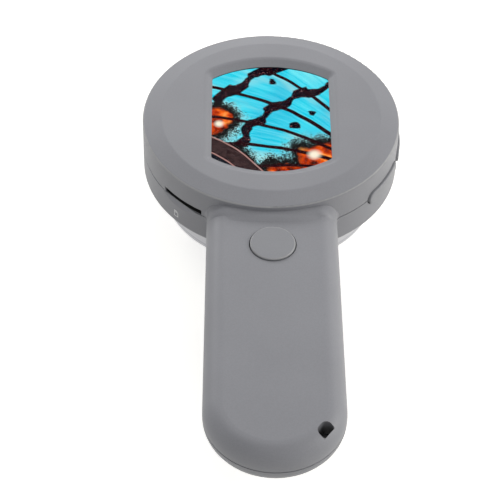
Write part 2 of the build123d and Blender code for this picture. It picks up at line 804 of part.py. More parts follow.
    # Strap hole, key openings, card slot with its finger scoop, charging port.
    with BuildSketch(Plane.XY.offset(handle_bottom_z - overcut)):
        add(strap_hole.sketch)
    extrude(amount=handle_drop + lip_height + 2 * overcut, mode=Mode.SUBTRACT)
    for angle in key_angles.values():
        with BuildSketch(radial_plane(angle, inner_radius - wall)):
            SlotOverall(key_length + 2 * key_gap, key_height + 2 * key_gap)
        extrude(amount=3 * wall, mode=Mode.SUBTRACT)
    with BuildSketch(radial_plane(card_angle, inner_radius - 2 * wall)):
        with Locations((0, (lip_height + overcut - card_slot_low) / 2)):
            Rectangle(card_slot_width, card_slot_low + lip_height + overcut)
    extrude(amount=4 * wall, mode=Mode.SUBTRACT)
    scoop_plane = radial_plane(card_angle + scoop_turn, head_radius)
    with BuildSketch(Plane(origin=scoop_plane.origin, x_dir=scoop_plane.z_dir, z_dir=-scoop_plane.x_dir)):
        with BuildLine():
            Polyline(
                (0, -scoop_height),
                (-scoop_depth, 0),
                (-scoop_depth, overcut),
                (overcut, overcut),
                (overcut, -scoop_height),
                close=True,
            )
        make_face()
    extrude(amount=card_slot_width / 2, both=True, mode=Mode.SUBTRACT)
    with BuildSketch(radial_plane(port_angle, inner_radius - wall, board_bottom_z - port_height / 2)):
        SlotOverall(port_width + 2 * port_gap, port_height + 2 * port_gap)
    extrude(amount=3 * wall, mode=Mode.SUBTRACT)
lower_casing.part.label = "lower_casing"
export_step(lower_casing.part, "parts/lower_casing.step")

# Screws that close the casing, with a cross recess in each pan head.
with BuildPart() as case_screws:
    for base_z, spots in ((floor_height, case_screw_spots), (handle_bottom_z, handle_screw_spots)):
        seat_z = base_z + screw_head_well
        with BuildSketch(Plane.XY.offset(seat_z - screw_head_height)):
            with Locations(spots):
                Circle(screw_head_radius)
        extrude(amount=screw_head_height)
        with BuildSketch(Plane.XY.offset(seat_z)):
            with Locations(spots):
                Circle(screw_radius)
        extrude(amount=parting_z + screw_bite - seat_z)
        with BuildSketch(Plane.XY.offset(seat_z - screw_head_height)):
            with Locations(spots):
                Rectangle(cross_length, cross_width)
                Rectangle(cross_width, cross_length)
        extrude(amount=cross_depth, mode=Mode.SUBTRACT)
case_screws.part.label = "case_screws"
export_step(case_screws.part, "parts/case_screws.step")

# -------------------------------------------------------------------- display
# Clear cover, glued under the sloping border of the window.
with BuildPart() as screen_cover:
    with BuildSketch(Plane.XY.offset(cover_bottom_z)):
        add(
            arched_face(
                window_half_width + cover_margin,
                window_apex + cover_margin,
                window_arch + cover_margin,
                window_corner + cover_margin,
            )
        )
    extrude(amount=cover_thickness)
screen_cover.part.label = "screen_cover"
export_step(screen_cover.part, "parts/screen_cover.step")

# Foam frame that keeps dust off the panel.
with BuildPart() as screen_gasket:
    with BuildSketch(Plane.XY.offset(gasket_bottom_z)):
        add(
            arched_face(
                window_half_width + cover_margin,
                window_apex + cover_margin,
                window_arch + cover_margin,
                window_corner + cover_margin,
            )
        )
        inner_growth = cover_margin - gasket_border
        add(
            arched_face(
                window_half_width + inner_growth,
                window_apex + inner_growth,
                window_arch + inner_growth,
                window_corner + inner_growth,
            ),
            mode=Mode.SUBTRACT,
        )
    extrude(amount=gasket_thickness)
screen_gasket.part.label = "screen_gasket"
export_step(screen_gasket.part, "parts/screen_gasket.step")

with BuildPart() as screen_panel:
    with BuildSketch(Plane.XY.offset(glass_bottom_z)):
        with Locations((0, screen_shift)):
            Rectangle(screen_width, screen_length)
    extrude(amount=glass_thickness)
screen_panel.part.label = "screen_panel"
export_step(screen_panel.part, "parts/screen_panel.step")

with BuildPart() as screen_backlight:
    with BuildSketch(Plane.XY.offset(backlight_bottom_z)):
        with Locations((0, screen_shift)):
            Rectangle(screen_width, screen_length)
    extrude(amount=backlight_thickness)
    fillet(screen_backlight.edges().filter_by(Axis.Z), backlight_corner)
screen_backlight.part.label = "screen_backlight"
export_step(screen_backlight.part, "parts/screen_backlight.step")

# Bracket that clamps the display against the gasket.
with BuildPart() as screen_bracket:
    with BuildSketch(Plane.XY.offset(bracket_bottom_z)):
        with Locations((0, screen_shift)):
            Rectangle(bracket_width, bracket_length)
        Circle(bracket_radius, mode=Mode.INTERSECT)
        with Locations((0, screen_shift)):
            RectangleRounded(
                bracket_hole_width, bracket_hole_length, bracket_hole_corner, mode=Mode.SUBTRACT
            )
        with Locations(bracket_screw_spots):
            Circle(small_screw_radius + screw_clearance, mode=Mode.SUBTRACT)
        with Locations(case_screw_spots):
            Circle(boss_radius + board_notch_clearance, mode=Mode.SUBTRACT)
    extrude(amount=bracket_thickness)
screen_bracket.part.label = "screen_bracket"
export_step(screen_bracket.part, "parts/screen_bracket.step")

with BuildPart() as bracket_screws:
    with BuildSketch(Plane.XY.offset(bracket_bottom_z - small_head_height)):
        with Locations(bracket_screw_spots):
            Circle(small_head_radius)
    extrude(amount=small_head_height)
    with BuildSketch(Plane.XY.offset(bracket_bottom_z)):
        with Locations(bracket_screw_spots):
            Circle(small_screw_radius)
    extrude(amount=bracket_thickness + bracket_screw_bite)
bracket_screws.part.label = "bracket_screws"
export_step(bracket_screws.part, "parts/bracket_screws.step")

# Flat flex from the lower edge of the panel, round to the main board.
panel_edge_y = screen_shift - screen_length / 2
connector_face_y = panel_edge_y + screen_connector_set
panel_flex_z = glass_bottom_z + glass_thickness / 2
connector_flex_z = board_top_z + screen_connector_height / 2
with BuildPart() as screen_flex:
    with BuildSketch(Plane.YZ):
        with BuildLine():
            FilletPolyline(
                (panel_edge_y, panel_flex_z),
                (panel_edge_y - flex_bulge, panel_flex_z),
                (panel_edge_y - flex_bulge, connector_flex_z),
                (connector_face_y, connector_flex_z),
                radius=flex_bend,
            )
        trace(line_width=flex_thickness)
    extrude(amount=screen_flex_width / 2, both=True)
screen_flex.part.label = "screen_flex"
export_step(screen_flex.part, "parts/screen_flex.step")

with BuildPart() as screen_connector:
    with BuildSketch(Plane.XY.offset(board_top_z)):
        with Locations((0, connector_face_y + screen_connector_depth / 2)):
            Rectangle(screen_flex_width + 2 * screen_connector_side, screen_connector_depth)
    extrude(amount=screen_connector_height)
screen_connector.part.label = "screen_connector"
export_step(screen_connector.part, "parts/screen_connector.step")

# ----------------------------------------------------------------- main board
with BuildPart() as main_board:
    with BuildSketch(Plane.XY.offset(board_bottom_z)):
        Circle(main_board_radius)
        with Locations(case_screw_spots):
            Circle(boss_radius + board_notch_clearance, mode=Mode.SUBTRACT)
        with Locations(board_post_spots):
            Circle(small_screw_radius + screw_clearance, mode=Mode.SUBTRACT)
    extrude(amount=main_board_thickness)
main_board.part.label = "main_board"
export_step(main_board.part, "parts/main_board.step")

with BuildPart() as board_screws:
    with BuildSketch(Plane.XY.offset(board_top_z)):
        with Locations(board_post_spots):
            Circle(small_head_radius)
    extrude(amount=small_head_height)
    with BuildSketch(Plane.XY.offset(board_top_z)):
        with Locations(board_post_spots):
            Circle(small_screw_radius)
    extrude(amount=-(main_board_thickness + board_screw_depth))
board_screws.part.label = "board_screws"
export_step(board_screws.part, "parts/board_screws.step")

# Packages soldered under the board: size along x, along y, height, centre.
package_corner = 0.4
packages = {
    "processor_chip": (12.0, 12.0, 1.4, -22.0, 5.0),
    "memory_chip": (8.0, 6.0, 1.1, -8.5, 20.0),
    "power_chip": (5.0, 5.0, 1.0, 9.5, 19.0),
    "power_coil": (5.6, 5.6, 2.8, 19.0, -8.0),
}
for package, (size_x, size_y, height, x, y) in packages.items():
    with BuildPart() as chip:
        with BuildSketch(Plane.XY.offset(board_bottom_z)):
            with Locations((x, y)):
                RectangleRounded(size_x, size_y, package_corner)
        extrude(amount=-height)
    chip.part.label = package
    export_step(chip.part, f"parts/{package}.step")

# Memory-card socket: a sheet-metal box with a card way in its front.
with BuildPart() as card_socket:
    with BuildSketch(radial_plane(card_angle, card_socket_reach, board_bottom_z)):
        with Locations((0, -card_socket_height / 2)):
            Rectangle(card_socket_width, card_socket_height)
    extrude(amount=-card_socket_length)
    with BuildSketch(radial_plane(card_angle, card_socket_reach, board_bottom_z)):
        with Locations((0, -card_socket_height / 2)):
            Rectangle(card_way_width, card_way_height)
    extrude(amount=-card_way_depth, mode=Mode.SUBTRACT)
card_socket.part.label = "card_socket"
export_step(card_socket.part, "parts/card_socket.step")

# Charging socket: rounded shell with a contact tongue inside.
port_plane = radial_plane(port_angle, port_reach, board_bottom_z - port_height / 2)
with BuildPart() as port_shell:
    with BuildSketch(port_plane):
        SlotOverall(port_width, port_height)
    extrude(amount=-port_length)
    with BuildSketch(port_plane):
        SlotOverall(port_width - 2 * port_wall, port_height - 2 * port_wall)
    extrude(amount=-(port_length - port_back), mode=Mode.SUBTRACT)
port_shell.part.label = "port_shell"
export_step(port_shell.part, "parts/port_shell.step")

with BuildPart() as port_tongue:
    with BuildSketch(port_plane.offset(port_back - port_length)):
        Rectangle(tongue_width, tongue_thickness)
    extrude(amount=tongue_length)
port_tongue.part.label = "port_tongue"
export_step(port_tongue.part, "parts/port_tongue.step")

# ------------------------------------------------------------------ side keys
key_flange_outer = inner_radius - key_flange_clearance
key_flange_inner = key_flange_outer - key_flange_thickness
key_nub_reach = side_switch_reach + side_plunger_length - side_plunger_set
for place, angle in key_angles.items():
    # Cap through the wall, flange behind it and nub that pushes the switch.
    with BuildPart() as key:
        with BuildSketch(radial_plane(angle, key_flange_inner - wall)):
            SlotOverall(key_length, key_height)
        extrude(amount=4 * wall)
        with BuildSketch(Plane.XY.offset(parting_z - key_height)):
            Circle(head_radius + key_proud)
            Circle(key_flange_inner, mode=Mode.SUBTRACT)
        extrude(amount=2 * key_height, mode=Mode.INTERSECT)
        fillet(key.faces().sort_by_distance((0, 0, parting_z))[-1].edges(), key_edge_round)
        with BuildPart(mode=Mode.PRIVATE) as flange:
            with BuildSketch(radial_plane(angle, key_flange_inner - wall)):
                SlotOverall(key_length - 2 * key_flange_inset, key_height + 2 * key_flange_border)
            extrude(amount=3 * wall)
            with BuildSketch(Plane.XY.offset(parting_z - key_height)):
                Circle(key_flange_outer)
                Circle(key_flange_inner, mode=Mode.SUBTRACT)
            extrude(amount=2 * key_height, mode=Mode.INTERSECT)
        add(flange.part)
        with BuildSketch(radial_plane(angle, key_nub_reach)):
            Circle(key_nub_radius)
        extrude(amount=key_flange_inner - key_nub_reach + merge)
    key.part.label = f"{place}_key"
    export_step(key.part, f"parts/{place}_key.step")

    with BuildPart() as side_switch:
        with BuildSketch(radial_plane(angle, side_switch_reach)):
            Rectangle(side_switch_width, side_switch_height)
        extrude(amount=-side_switch_depth)
        with BuildSketch(radial_plane(angle, side_switch_reach)):
            Circle(side_plunger_radius + plunger_clearance)
        extrude(amount=-side_plunger_well, mode=Mode.SUBTRACT)
    side_switch.part.label = f"{place}_key_switch"
    export_step(side_switch.part, f"parts/{place}_key_switch.step")

    with BuildPart() as side_plunger:
        with BuildSketch(radial_plane(angle, key_nub_reach)):
            Circle(side_plunger_radius)
        extrude(amount=-side_plunger_length)
    side_plunger.part.label = f"{place}_key_plunger"
    export_step(side_plunger.part, f"parts/{place}_key_plunger.step")

# -------------------------------------------------------------- handle button
button_plane = Plane.XZ.offset(button_reach)
with BuildPart() as handle_button:
    with BuildSketch(button_plane) as button_profile:
        with BuildLine():
            Polyline(
                (0, button_top_z),
                (button_radius, button_top_z),
                (button_radius, button_flange_top_z),
                (button_radius + button_flange_width, button_flange_top_z),
                (button_radius + button_flange_width, button_flange_z),
                (button_radius - button_wall, button_flange_z),
                (button_radius - button_wall, button_top_z - button_skin),
                (button_stem_radius, button_top_z - button_skin),
                (button_stem_radius, stem_end_z),
                (0, stem_end_z),
                close=True,
            )
        make_face()
        fillet(
            button_profile.vertices().group_by(Axis.Y)[-1].sort_by(Axis.X)[-1],
            button_edge_round,
        )
    revolve(axis=button_axis)
handle_button.part.label = "handle_button"
export_step(handle_button.part, "parts/handle_button.step")

with BuildPart() as button_plunger:
    with BuildSketch(Plane.XY.offset(stem_end_z)):
        with Locations((0, -button_reach)):
            Circle(button_plunger_radius)
    extrude(amount=button_switch_top_z - button_plunger_set - stem_end_z)
button_plunger.part.label = "button_plunger"
export_step(button_plunger.part, "parts/button_plunger.step")

with BuildPart() as button_switch:
    with BuildSketch(Plane.XY.offset(button_board_top_z)):
        with Locations((0, -button_reach)):
            Rectangle(button_switch_size, button_switch_size)
    extrude(amount=button_switch_height)
    with BuildSketch(Plane.XY.offset(button_switch_top_z)):
        with Locations((0, -button_reach)):
            Circle(button_plunger_radius + plunger_clearance)
    extrude(amount=-button_plunger_well, mode=Mode.SUBTRACT)
button_switch.part.label = "button_switch"
export_step(button_switch.part, "parts/button_switch.step")

with BuildPart() as button_board:
    with BuildSketch(Plane.XY.offset(button_board_top_z)):
        with Locations((0, -button_reach)):
            RectangleRounded(button_board_width, button_board_length, button_board_corner)
        with Locations(button_board_spots):
            Circle(small_screw_radius + screw_clearance, mode=Mode.SUBTRACT)
    extrude(amount=-button_board_thickness)
button_board.part.label = "button_board"
export_step(button_board.part, "parts/button_board.step")

with BuildPart() as button_board_screws:
    with BuildSketch(Plane.XY.offset(button_board_top_z - button_board_thickness)):
        with Locations(button_board_spots):
            Circle(small_head_radius)
    extrude(amount=-small_head_height)
    with BuildSketch(Plane.XY.offset(button_board_top_z - button_board_thickness)):
        with Locations(button_board_spots):
            Circle(small_screw_radius)
    extrude(amount=button_board_thickness + button_board_screw_bite)
button_board_screws.part.label = "button_board_screws"
export_step(button_board_screws.part, "parts/button_board_screws.step")

# Flat flex from the button board to the underside of the main board.
flex_solder_y = -button_reach + button_board_length / 2 - flex_lap
with BuildPart() as handle_flex:
    with BuildSketch(Plane.YZ.offset(handle_flex_x)):
        with BuildLine():
            Polyline(
                (flex_solder_y, button_board_top_z + flex_thickness / 2),
                (flex_solder_y + flex_lap + flex_lead, button_board_top_z + flex_thickness / 2),
                (-main_board_radius - flex_lead, board_bottom_z - flex_thickness / 2),
                (-main_board_radius + handle_flex_lap, board_bottom_z - flex_thickness / 2),
            )
        trace(line_width=flex_thickness)
    extrude(amount=handle_flex_width / 2, both=True)
handle_flex.part.label = "handle_flex"
export_step(handle_flex.part, "parts/handle_flex.step")

# -------------------------------------------------------------- rechargeable cell
cell_y = -(cell_reach + cell_length / 2)
with BuildPart() as battery_cell:
    with BuildSketch(Plane.XY.offset(cell_bottom_z)):
        with Locations((0, cell_y)):
            RectangleRounded(cell_width, cell_length, cell_corner)
    extrude(amount=cell_thickness)
    fillet(battery_cell.edges().group_by(Axis.Z)[0], cell_round)
    fillet(battery_cell.edges().group_by(Axis.Z)[-1], cell_round)
battery_cell.part.label = "battery_cell"
export_step(battery_cell.part, "parts/battery_cell.step")

with BuildPart() as battery_pad:
    with BuildSketch(Plane.XY.offset(handle_floor_z)):
        with Locations((0, cell_y)):
            Rectangle(cell_width - 4 * cell_round, cell_length - 4 * cell_round)
    extrude(amount=pad_thickness)
battery_pad.part.label = "battery_pad"
export_step(battery_pad.part, "parts/battery_pad.step")

guard_z = cell_bottom_z + cell_thickness / 2
with BuildPart() as battery_guard_board:
    with BuildSketch(Plane.XY.offset(guard_z - guard_board_thickness / 2)):
        with Locations((0, -cell_reach + guard_board_length / 2)):
            Rectangle(cell_width - 2 * guard_board_inset, guard_board_length)
    extrude(amount=guard_board_thickness)
battery_guard_board.part.label = "battery_guard_board"
export_step(battery_guard_board.part, "parts/battery_guard_board.step")

with BuildPart() as battery_connector:
    with BuildSketch(Plane.XY.offset(board_bottom_z)):
        with Locations((battery_connector_x, battery_connector_y + battery_connector_depth / 2)):
            Rectangle(battery_connector_width, battery_connector_depth)
    extrude(amount=-battery_connector_height)
battery_connector.part.label = "battery_connector"
export_step(battery_connector.part, "parts/battery_connector.step")

lead_start_y = -cell_reach + guard_board_length
lead_turn_y = (lead_start_y + battery_connector_y) / 2
lead_end_z = board_bottom_z - battery_connector_height / 2
with BuildPart() as battery_leads:
    for side in (-1, 1):
        lead_x = battery_connector_x + side * lead_pitch / 2
        with BuildLine(Plane.YZ.offset(lead_x)) as lead_path:
            FilletPolyline(
                (lead_start_y, guard_z),
                (lead_turn_y, guard_z),
                (lead_turn_y, lead_end_z),
                (battery_connector_y, lead_end_z),
                radius=lead_bend,
            )
        with BuildSketch(Plane.XZ.offset(-lead_start_y)):
            with Locations((lead_x, guard_z)):
                Circle(lead_radius)
        sweep(path=lead_path.line)
battery_leads.part.label = "battery_leads"
export_step(battery_leads.part, "parts/battery_leads.step")

# --------------------------------------------------------------- image sensor
with BuildPart() as sensor_board:
    with BuildSketch(Plane.XY.offset(sensor_board_z)):
        RectangleRounded(sensor_board_size, sensor_board_size, board_corner)
        with Locations(sensor_screw_spots):
            Circle(small_screw_radius + screw_clearance, mode=Mode.SUBTRACT)
    extrude(amount=sensor_board_thickness)
sensor_board.part.label = "sensor_board"
export_step(sensor_board.part, "parts/sensor_board.step")

with BuildPart() as board_connector:
    with BuildSketch(Plane.XY.offset(sensor_board_top_z)):
        with Locations((0, board_connector_y)):
            Rectangle(board_connector_width, board_connector_depth)
    extrude(amount=board_connector_height)
board_connector.part.label = "board_connector"
export_step(board_connector.part, "parts/board_connector.step")

with BuildPart() as image_sensor:
    with BuildSketch(Plane.XY.offset(sensor_z)):
        Rectangle(sensor_size, sensor_size)
    extrude(amount=sensor_thickness)
image_sensor.part.label = "image_sensor"
export_step(image_sensor.part, "parts/image_sensor.step")

with BuildPart() as infrared_filter:
    with BuildSketch(Plane.XY.offset(filter_z)):
        Rectangle(filter_size, filter_size)
    extrude(amount=filter_thickness)
infrared_filter.part.label = "infrared_filter"
export_step(infrared_filter.part, "parts/infrared_filter.step")

# Holder: square housing on the casing floor with the bore for the objective.
with BuildPart() as lens_holder:
    with BuildSketch(Plane.XY.offset(head_floor_z)):
        RectangleRounded(sensor_board_size, sensor_board_size, board_corner)
    extrude(amount=sensor_board_z - head_floor_z)
    with BuildSketch(Plane.XY.offset(holder_nose_z)):
        Circle(holder_nose_radius)
    extrude(amount=head_floor_z - holder_nose_z)
    with BuildSketch(Plane.XY.offset(holder_nose_z)):
        Circle(holder_bore_radius)
    extrude(amount=holder_bore_top_z - holder_nose_z, mode=Mode.SUBTRACT)
    with BuildSketch(Plane.XY.offset(holder_bore_top_z)):
        Circle(barrel_bore)
    extrude(amount=filter_z - holder_bore_top_z, mode=Mode.SUBTRACT)
    with BuildSketch(Plane.XY.offset(filter_z)):
        Rectangle(filter_size + 2 * pocket_gap, filter_size + 2 * pocket_gap)
    extrude(amount=sensor_board_z - filter_z, mode=Mode.SUBTRACT)
    with BuildSketch(Plane.XY.offset(sensor_z - pocket_gap)):
        Rectangle(sensor_size + 2 * pocket_gap, sensor_size + 2 * pocket_gap)
    extrude(amount=sensor_board_z - sensor_z + pocket_gap, mode=Mode.SUBTRACT)
    with BuildSketch(Plane.XY.offset(head_floor_z)):
        with Locations(sensor_screw_spots):
            Circle(small_screw_radius + screw_clearance)
    extrude(amount=sensor_board_z - head_floor_z, mode=Mode.SUBTRACT)
lens_holder.part.label = "lens_holder"
export_step(lens_holder.part, "parts/lens_holder.step")

with BuildPart() as sensor_screws:
    with BuildSketch(Plane.XY.offset(sensor_board_top_z)):
        with Locations(sensor_screw_spots):
            Circle(small_head_radius)
    extrude(amount=small_head_height)
    with BuildSketch(Plane.XY.offset(sensor_board_top_z)):
        with Locations(sensor_screw_spots):
            Circle(small_screw_radius)
    extrude(amount=-(sensor_board_top_z - floor_height + sensor_pad_drop - sensor_screw_tip))
sensor_screws.part.label = "sensor_screws"
export_step(sensor_screws.part, "parts/sensor_screws.step")

# ------------------------------------------------------------------ lamp ring
with BuildPart() as lamp_board:
    with BuildSketch(Plane.XY.offset(lamp_board_z)):
        Circle(lamp_board_outer)
        Circle(lamp_board_inner, mode=Mode.SUBTRACT)
        with Locations(lamp_pillar_spots):
            Circle(small_screw_radius + screw_clearance, mode=Mode.SUBTRACT)
    extrude(amount=lamp_board_thickness)
lamp_board.part.label = "lamp_board"
export_step(lamp_board.part, "parts/lamp_board.step")

with BuildPart() as lamps:
    with BuildSketch(Plane.XY.offset(lamp_board_z)):
        with PolarLocations(lamp_circle, lamp_count):
            Rectangle(lamp_width, lamp_length)
    extrude(amount=-lamp_height)
lamps.part.label = "lamps"
export_step(lamps.part, "parts/lamps.step")

with BuildPart() as lamp_board_screws:
    with BuildSketch(Plane.XY.offset(lamp_board_z)):
        with Locations(lamp_pillar_spots):
            Circle(small_head_radius)
    extrude(amount=-small_head_height)
    with BuildSketch(Plane.XY.offset(lamp_board_z)):
        with Locations(lamp_pillar_spots):
            Circle(small_screw_radius)
    extrude(amount=lamp_board_thickness + lamp_board_drop - lamp_pillar_cap)
lamp_board_screws.part.label = "lamp_board_screws"
export_step(lamp_board_screws.part, "parts/lamp_board_screws.step")

with BuildPart() as header_block:
    with BuildSketch(Plane.XY.offset(lamp_board_top_z)):
        with Locations((0, header_y)):
            Rectangle(header_block_width, header_block_depth)
    extrude(amount=header_block_height)
header_block.part.label = "header_block"
export_step(header_block.part, "parts/header_block.step")

with BuildPart() as header_pins:
    with BuildSketch(Plane.XY.offset(lamp_board_top_z + header_block_height)):
        with Locations((0, header_y)):
            with GridLocations(header_pitch, 0, 3, 1):
                Rectangle(2 * header_pin_radius, 2 * header_pin_radius)
    extrude(amount=board_bottom_z - lamp_board_top_z - header_block_height)
header_pins.part.label = "header_pins"
export_step(header_pins.part, "parts/header_pins.step")

# ----------------------------------------------------- hood and focus drive
# Frosted bell: skirt, diffusing web and a hub with two dogs that turn the barrel.
hub_top_z = web_height + hub_height
hub_outer_radius = hub_bore_radius + hub_wall
bead_high_z = bead_low_z + bead_height
with BuildPart() as focus_hood:
    with BuildSketch(Plane.XZ) as hood_profile:
        with BuildLine():
            Polyline(
                (hood_mouth_radius, 0),
                (hood_foot_radius, 0),
                (hood_top_radius, hood_top_z),
                (hood_bore_radius, hood_top_z),
                (hood_bore_radius, bead_high_z),
                (bead_radius, bead_high_z - bead_height / 3),
                (bead_radius, bead_low_z + bead_height / 3),
                (hood_bore_radius, bead_low_z),
                (hood_bore_radius, web_top_z),
                (hub_outer_radius, web_top_z),
                (hub_outer_radius, hub_top_z),
                (hub_bore_radius, hub_top_z),
                (hub_bore_radius, web_height),
                (hood_bore_radius, web_height),
                (hood_bore_radius, hood_mouth_depth),
                (hood_mouth_radius, hood_mouth_depth),
                close=True,
            )
        make_face()
        fillet(
            hood_profile.vertices().group_by(Axis.Y)[0].sort_by(Axis.X)[-1], hood_foot_round
        )
    revolve(axis=Axis.Z)
    with BuildSketch(meridian_plane(lug_angle - lug_width / 2)):
        with Locations(((lug_inner_radius + lug_outer_radius) / 2, hood_top_z + (lug_height - merge) / 2)):
            Rectangle(lug_outer_radius - lug_inner_radius, lug_height + merge)
    revolve(axis=Axis.Z, revolution_arc=lug_width)
    with BuildSketch(Plane.XY.offset(web_height)):
        for side in (-1, 1):
            with Locations((side * (dog_tip + hub_bore_radius + hub_wall / 2) / 2, 0)):
                Rectangle(hub_bore_radius + hub_wall / 2 - dog_tip, dog_width)
    extrude(amount=hub_height)
focus_hood.part.label = "focus_hood"
export_step(focus_hood.part, "parts/focus_hood.step")

# Objective barrel: running body in the holder, drive collar with two keyways.
retainer_top_z = barrel_bottom + retainer_height
front_lens_top_z = retainer_top_z + front_lens_thickness
rear_lens_z = barrel_top - rear_lens_thickness - rear_lens_inset
with BuildPart() as objective_barrel:
    with BuildSketch(Plane.XZ):
        with BuildLine():
            Polyline(
                (lens_radius, barrel_bottom),
                (nose_radius, barrel_bottom),
                (nose_radius, drive_collar_low),
                (drive_collar_radius, drive_collar_low),
                (drive_collar_radius, drive_collar_low + drive_collar_height),
                (barrel_radius, drive_collar_low + drive_collar_height),
                (barrel_radius, barrel_top),
                (lens_radius, barrel_top),
                (lens_radius, rear_lens_z),
                (barrel_bore, rear_lens_z),
                (barrel_bore, front_lens_top_z),
                (lens_radius, front_lens_top_z),
                close=True,
            )
        make_face()
    revolve(axis=Axis.Z)
    with BuildSketch(Plane.XY.offset(drive_collar_low)):
        for side in (-1, 1):
            with Locations((side * (keyway_floor + drive_collar_radius) / 2, 0)):
                Rectangle(drive_collar_radius - keyway_floor + merge, keyway_width)
    extrude(amount=drive_collar_height, mode=Mode.SUBTRACT)
objective_barrel.part.label = "objective_barrel"
export_step(objective_barrel.part, "parts/objective_barrel.step")


def lens_section(low, high):
    """Half section of a lens: flat rim, crowned faces inside the retainer bore."""
    crowned = retainer_bore - lens_land
    rim = lens_radius - lens_gap
    with BuildSketch(Plane.XZ) as section_sketch:
        with BuildLine():
            TangentArc((0, low - lens_crown), (crowned, low), tangent=(1, 0))
            Polyline((crowned, low), (rim, low), (rim, high), (crowned, high))
            TangentArc((0, high + lens_crown), (crowned, high), tangent=(1, 0))
            Line((0, high + lens_crown), (0, low - lens_crown))
        make_face()
    return section_sketch.sketch


for lens_name, low, high in (
    ("front_lens", retainer_top_z, front_lens_top_z),
    ("rear_lens", rear_lens_z, rear_lens_z + rear_lens_thickness),
):
    with BuildPart() as lens:
        revolve(lens_section(low, high), axis=Axis.Z)
    lens.part.label = lens_name
    export_step(lens.part, f"parts/{lens_name}.step")

with BuildPart() as lens_retainer:
    with BuildSketch(Plane.XY.offset(barrel_bottom)):
        Circle(lens_radius - lens_gap)
        Circle(retainer_bore, mode=Mode.SUBTRACT)
    extrude(amount=retainer_height)
lens_retainer.part.label = "lens_retainer"
export_step(lens_retainer.part, "parts/lens_retainer.step")
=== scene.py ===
# %% [markdown]
# # A hand-held digital microscope
#
# The object is a small inspection microscope: a round head with a screen on
# top, a flat handle, and a frosted hood that stands on the specimen.  The
# solid pieces come ready made from the CAD model.  This lesson dresses them:
# it gives each one a finish, lights the screen with a picture, adds the
# printed card sign, and sets up the floor, the lamps and the camera.
#
# Everything is in metres, in the CAD model's own frame: +Z is up, the origin
# is where the optical axis meets the table, and the handle runs towards -Y.
# Sizes are easier to read in millimetres, so MM turns them into metres.

# %% Load the model
import json
import math

import bmesh
import bpy
from mathutils import Matrix, Vector


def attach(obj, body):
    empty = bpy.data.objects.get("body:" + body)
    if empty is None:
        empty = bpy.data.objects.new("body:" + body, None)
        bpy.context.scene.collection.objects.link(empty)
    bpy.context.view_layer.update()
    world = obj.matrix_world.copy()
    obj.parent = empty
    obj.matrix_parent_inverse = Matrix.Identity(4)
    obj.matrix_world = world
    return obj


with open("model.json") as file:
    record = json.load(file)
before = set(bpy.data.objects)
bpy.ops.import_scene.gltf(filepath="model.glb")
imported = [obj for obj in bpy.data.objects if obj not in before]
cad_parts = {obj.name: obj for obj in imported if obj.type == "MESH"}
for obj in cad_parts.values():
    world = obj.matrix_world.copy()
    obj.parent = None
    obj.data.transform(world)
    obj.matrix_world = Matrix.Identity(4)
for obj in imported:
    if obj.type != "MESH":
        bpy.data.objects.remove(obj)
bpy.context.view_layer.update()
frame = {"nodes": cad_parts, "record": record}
nodes = frame["nodes"]
slot_of = {entry["node"]: entry["material_slot"] for entry in frame["record"]["subparts"]}
MM = 0.001
print("pieces in the model:", len(nodes))

# %% [markdown]
# ## Short words for shader nodes
#
# A Blender material is a graph of nodes, and wiring each one by hand takes
# many lines.  A small class keeps one graph and has a short word for each kind
# of node.  Each word returns the socket that the next one takes, so a whole
# graph reads as plain code.  These words do for a material and for the world.

# %% Words for any graph


class Graph:
    """A graph of shader nodes."""

    def __init__(self, tree):
        self.tree = tree

    def plug(self, socket, value):
        """Joins a socket to another one, or writes a plain value on it."""
        if isinstance(value, bpy.types.NodeSocket):
            self.tree.links.new(value, socket)
        else:
            socket.default_value = value

    def node(self, kind, inputs=(), **settings):
        """New node.  inputs pairs the names or numbers of sockets with values."""
        made = self.tree.nodes.new(kind)
        for setting, value in settings.items():
            setattr(made, setting, value)
        for socket, value in dict(inputs).items():
            self.plug(made.inputs[socket], value)
        return made

    def math(self, operation, *values):
        return self.node("ShaderNodeMath", enumerate(values), operation=operation).outputs[0]

    def chain(self, operation, values):
        """One value out of many, such as their product or the largest."""
        found, *others = values
        for value in others:
            found = self.math(operation, found, value)
        return found

    def apart(self, value, target):
        """How far a value is from a target, on either side."""
        return self.math("ABSOLUTE", self.math("SUBTRACT", value, target))

    def vector(self, operation, *values, out="Vector"):
        made = self.node("ShaderNodeVectorMath", enumerate(values), operation=operation)
        return made.outputs[out]

    def split(self, vector):
        """The three parts of a vector."""
        return self.node("ShaderNodeSeparateXYZ", {0: vector}).outputs


print("words for a graph:", ", ".join(word for word in vars(Graph) if word[0] != "_"))

# %% [markdown]
# A finish is mostly patterns: a noise, a distance, a smooth step, a colour
# ramp, a mix.  Every pattern starts from the place on the object.  Its pieces
# then need no unwrapping, and a grain keeps its real size on each of them.

# %% Words for patterns


def rgba(value):
    """A colour with its alpha.  A socket comes back as it is."""
    return (*value, 1.0) if isinstance(value, tuple) and len(value) == 3 else value


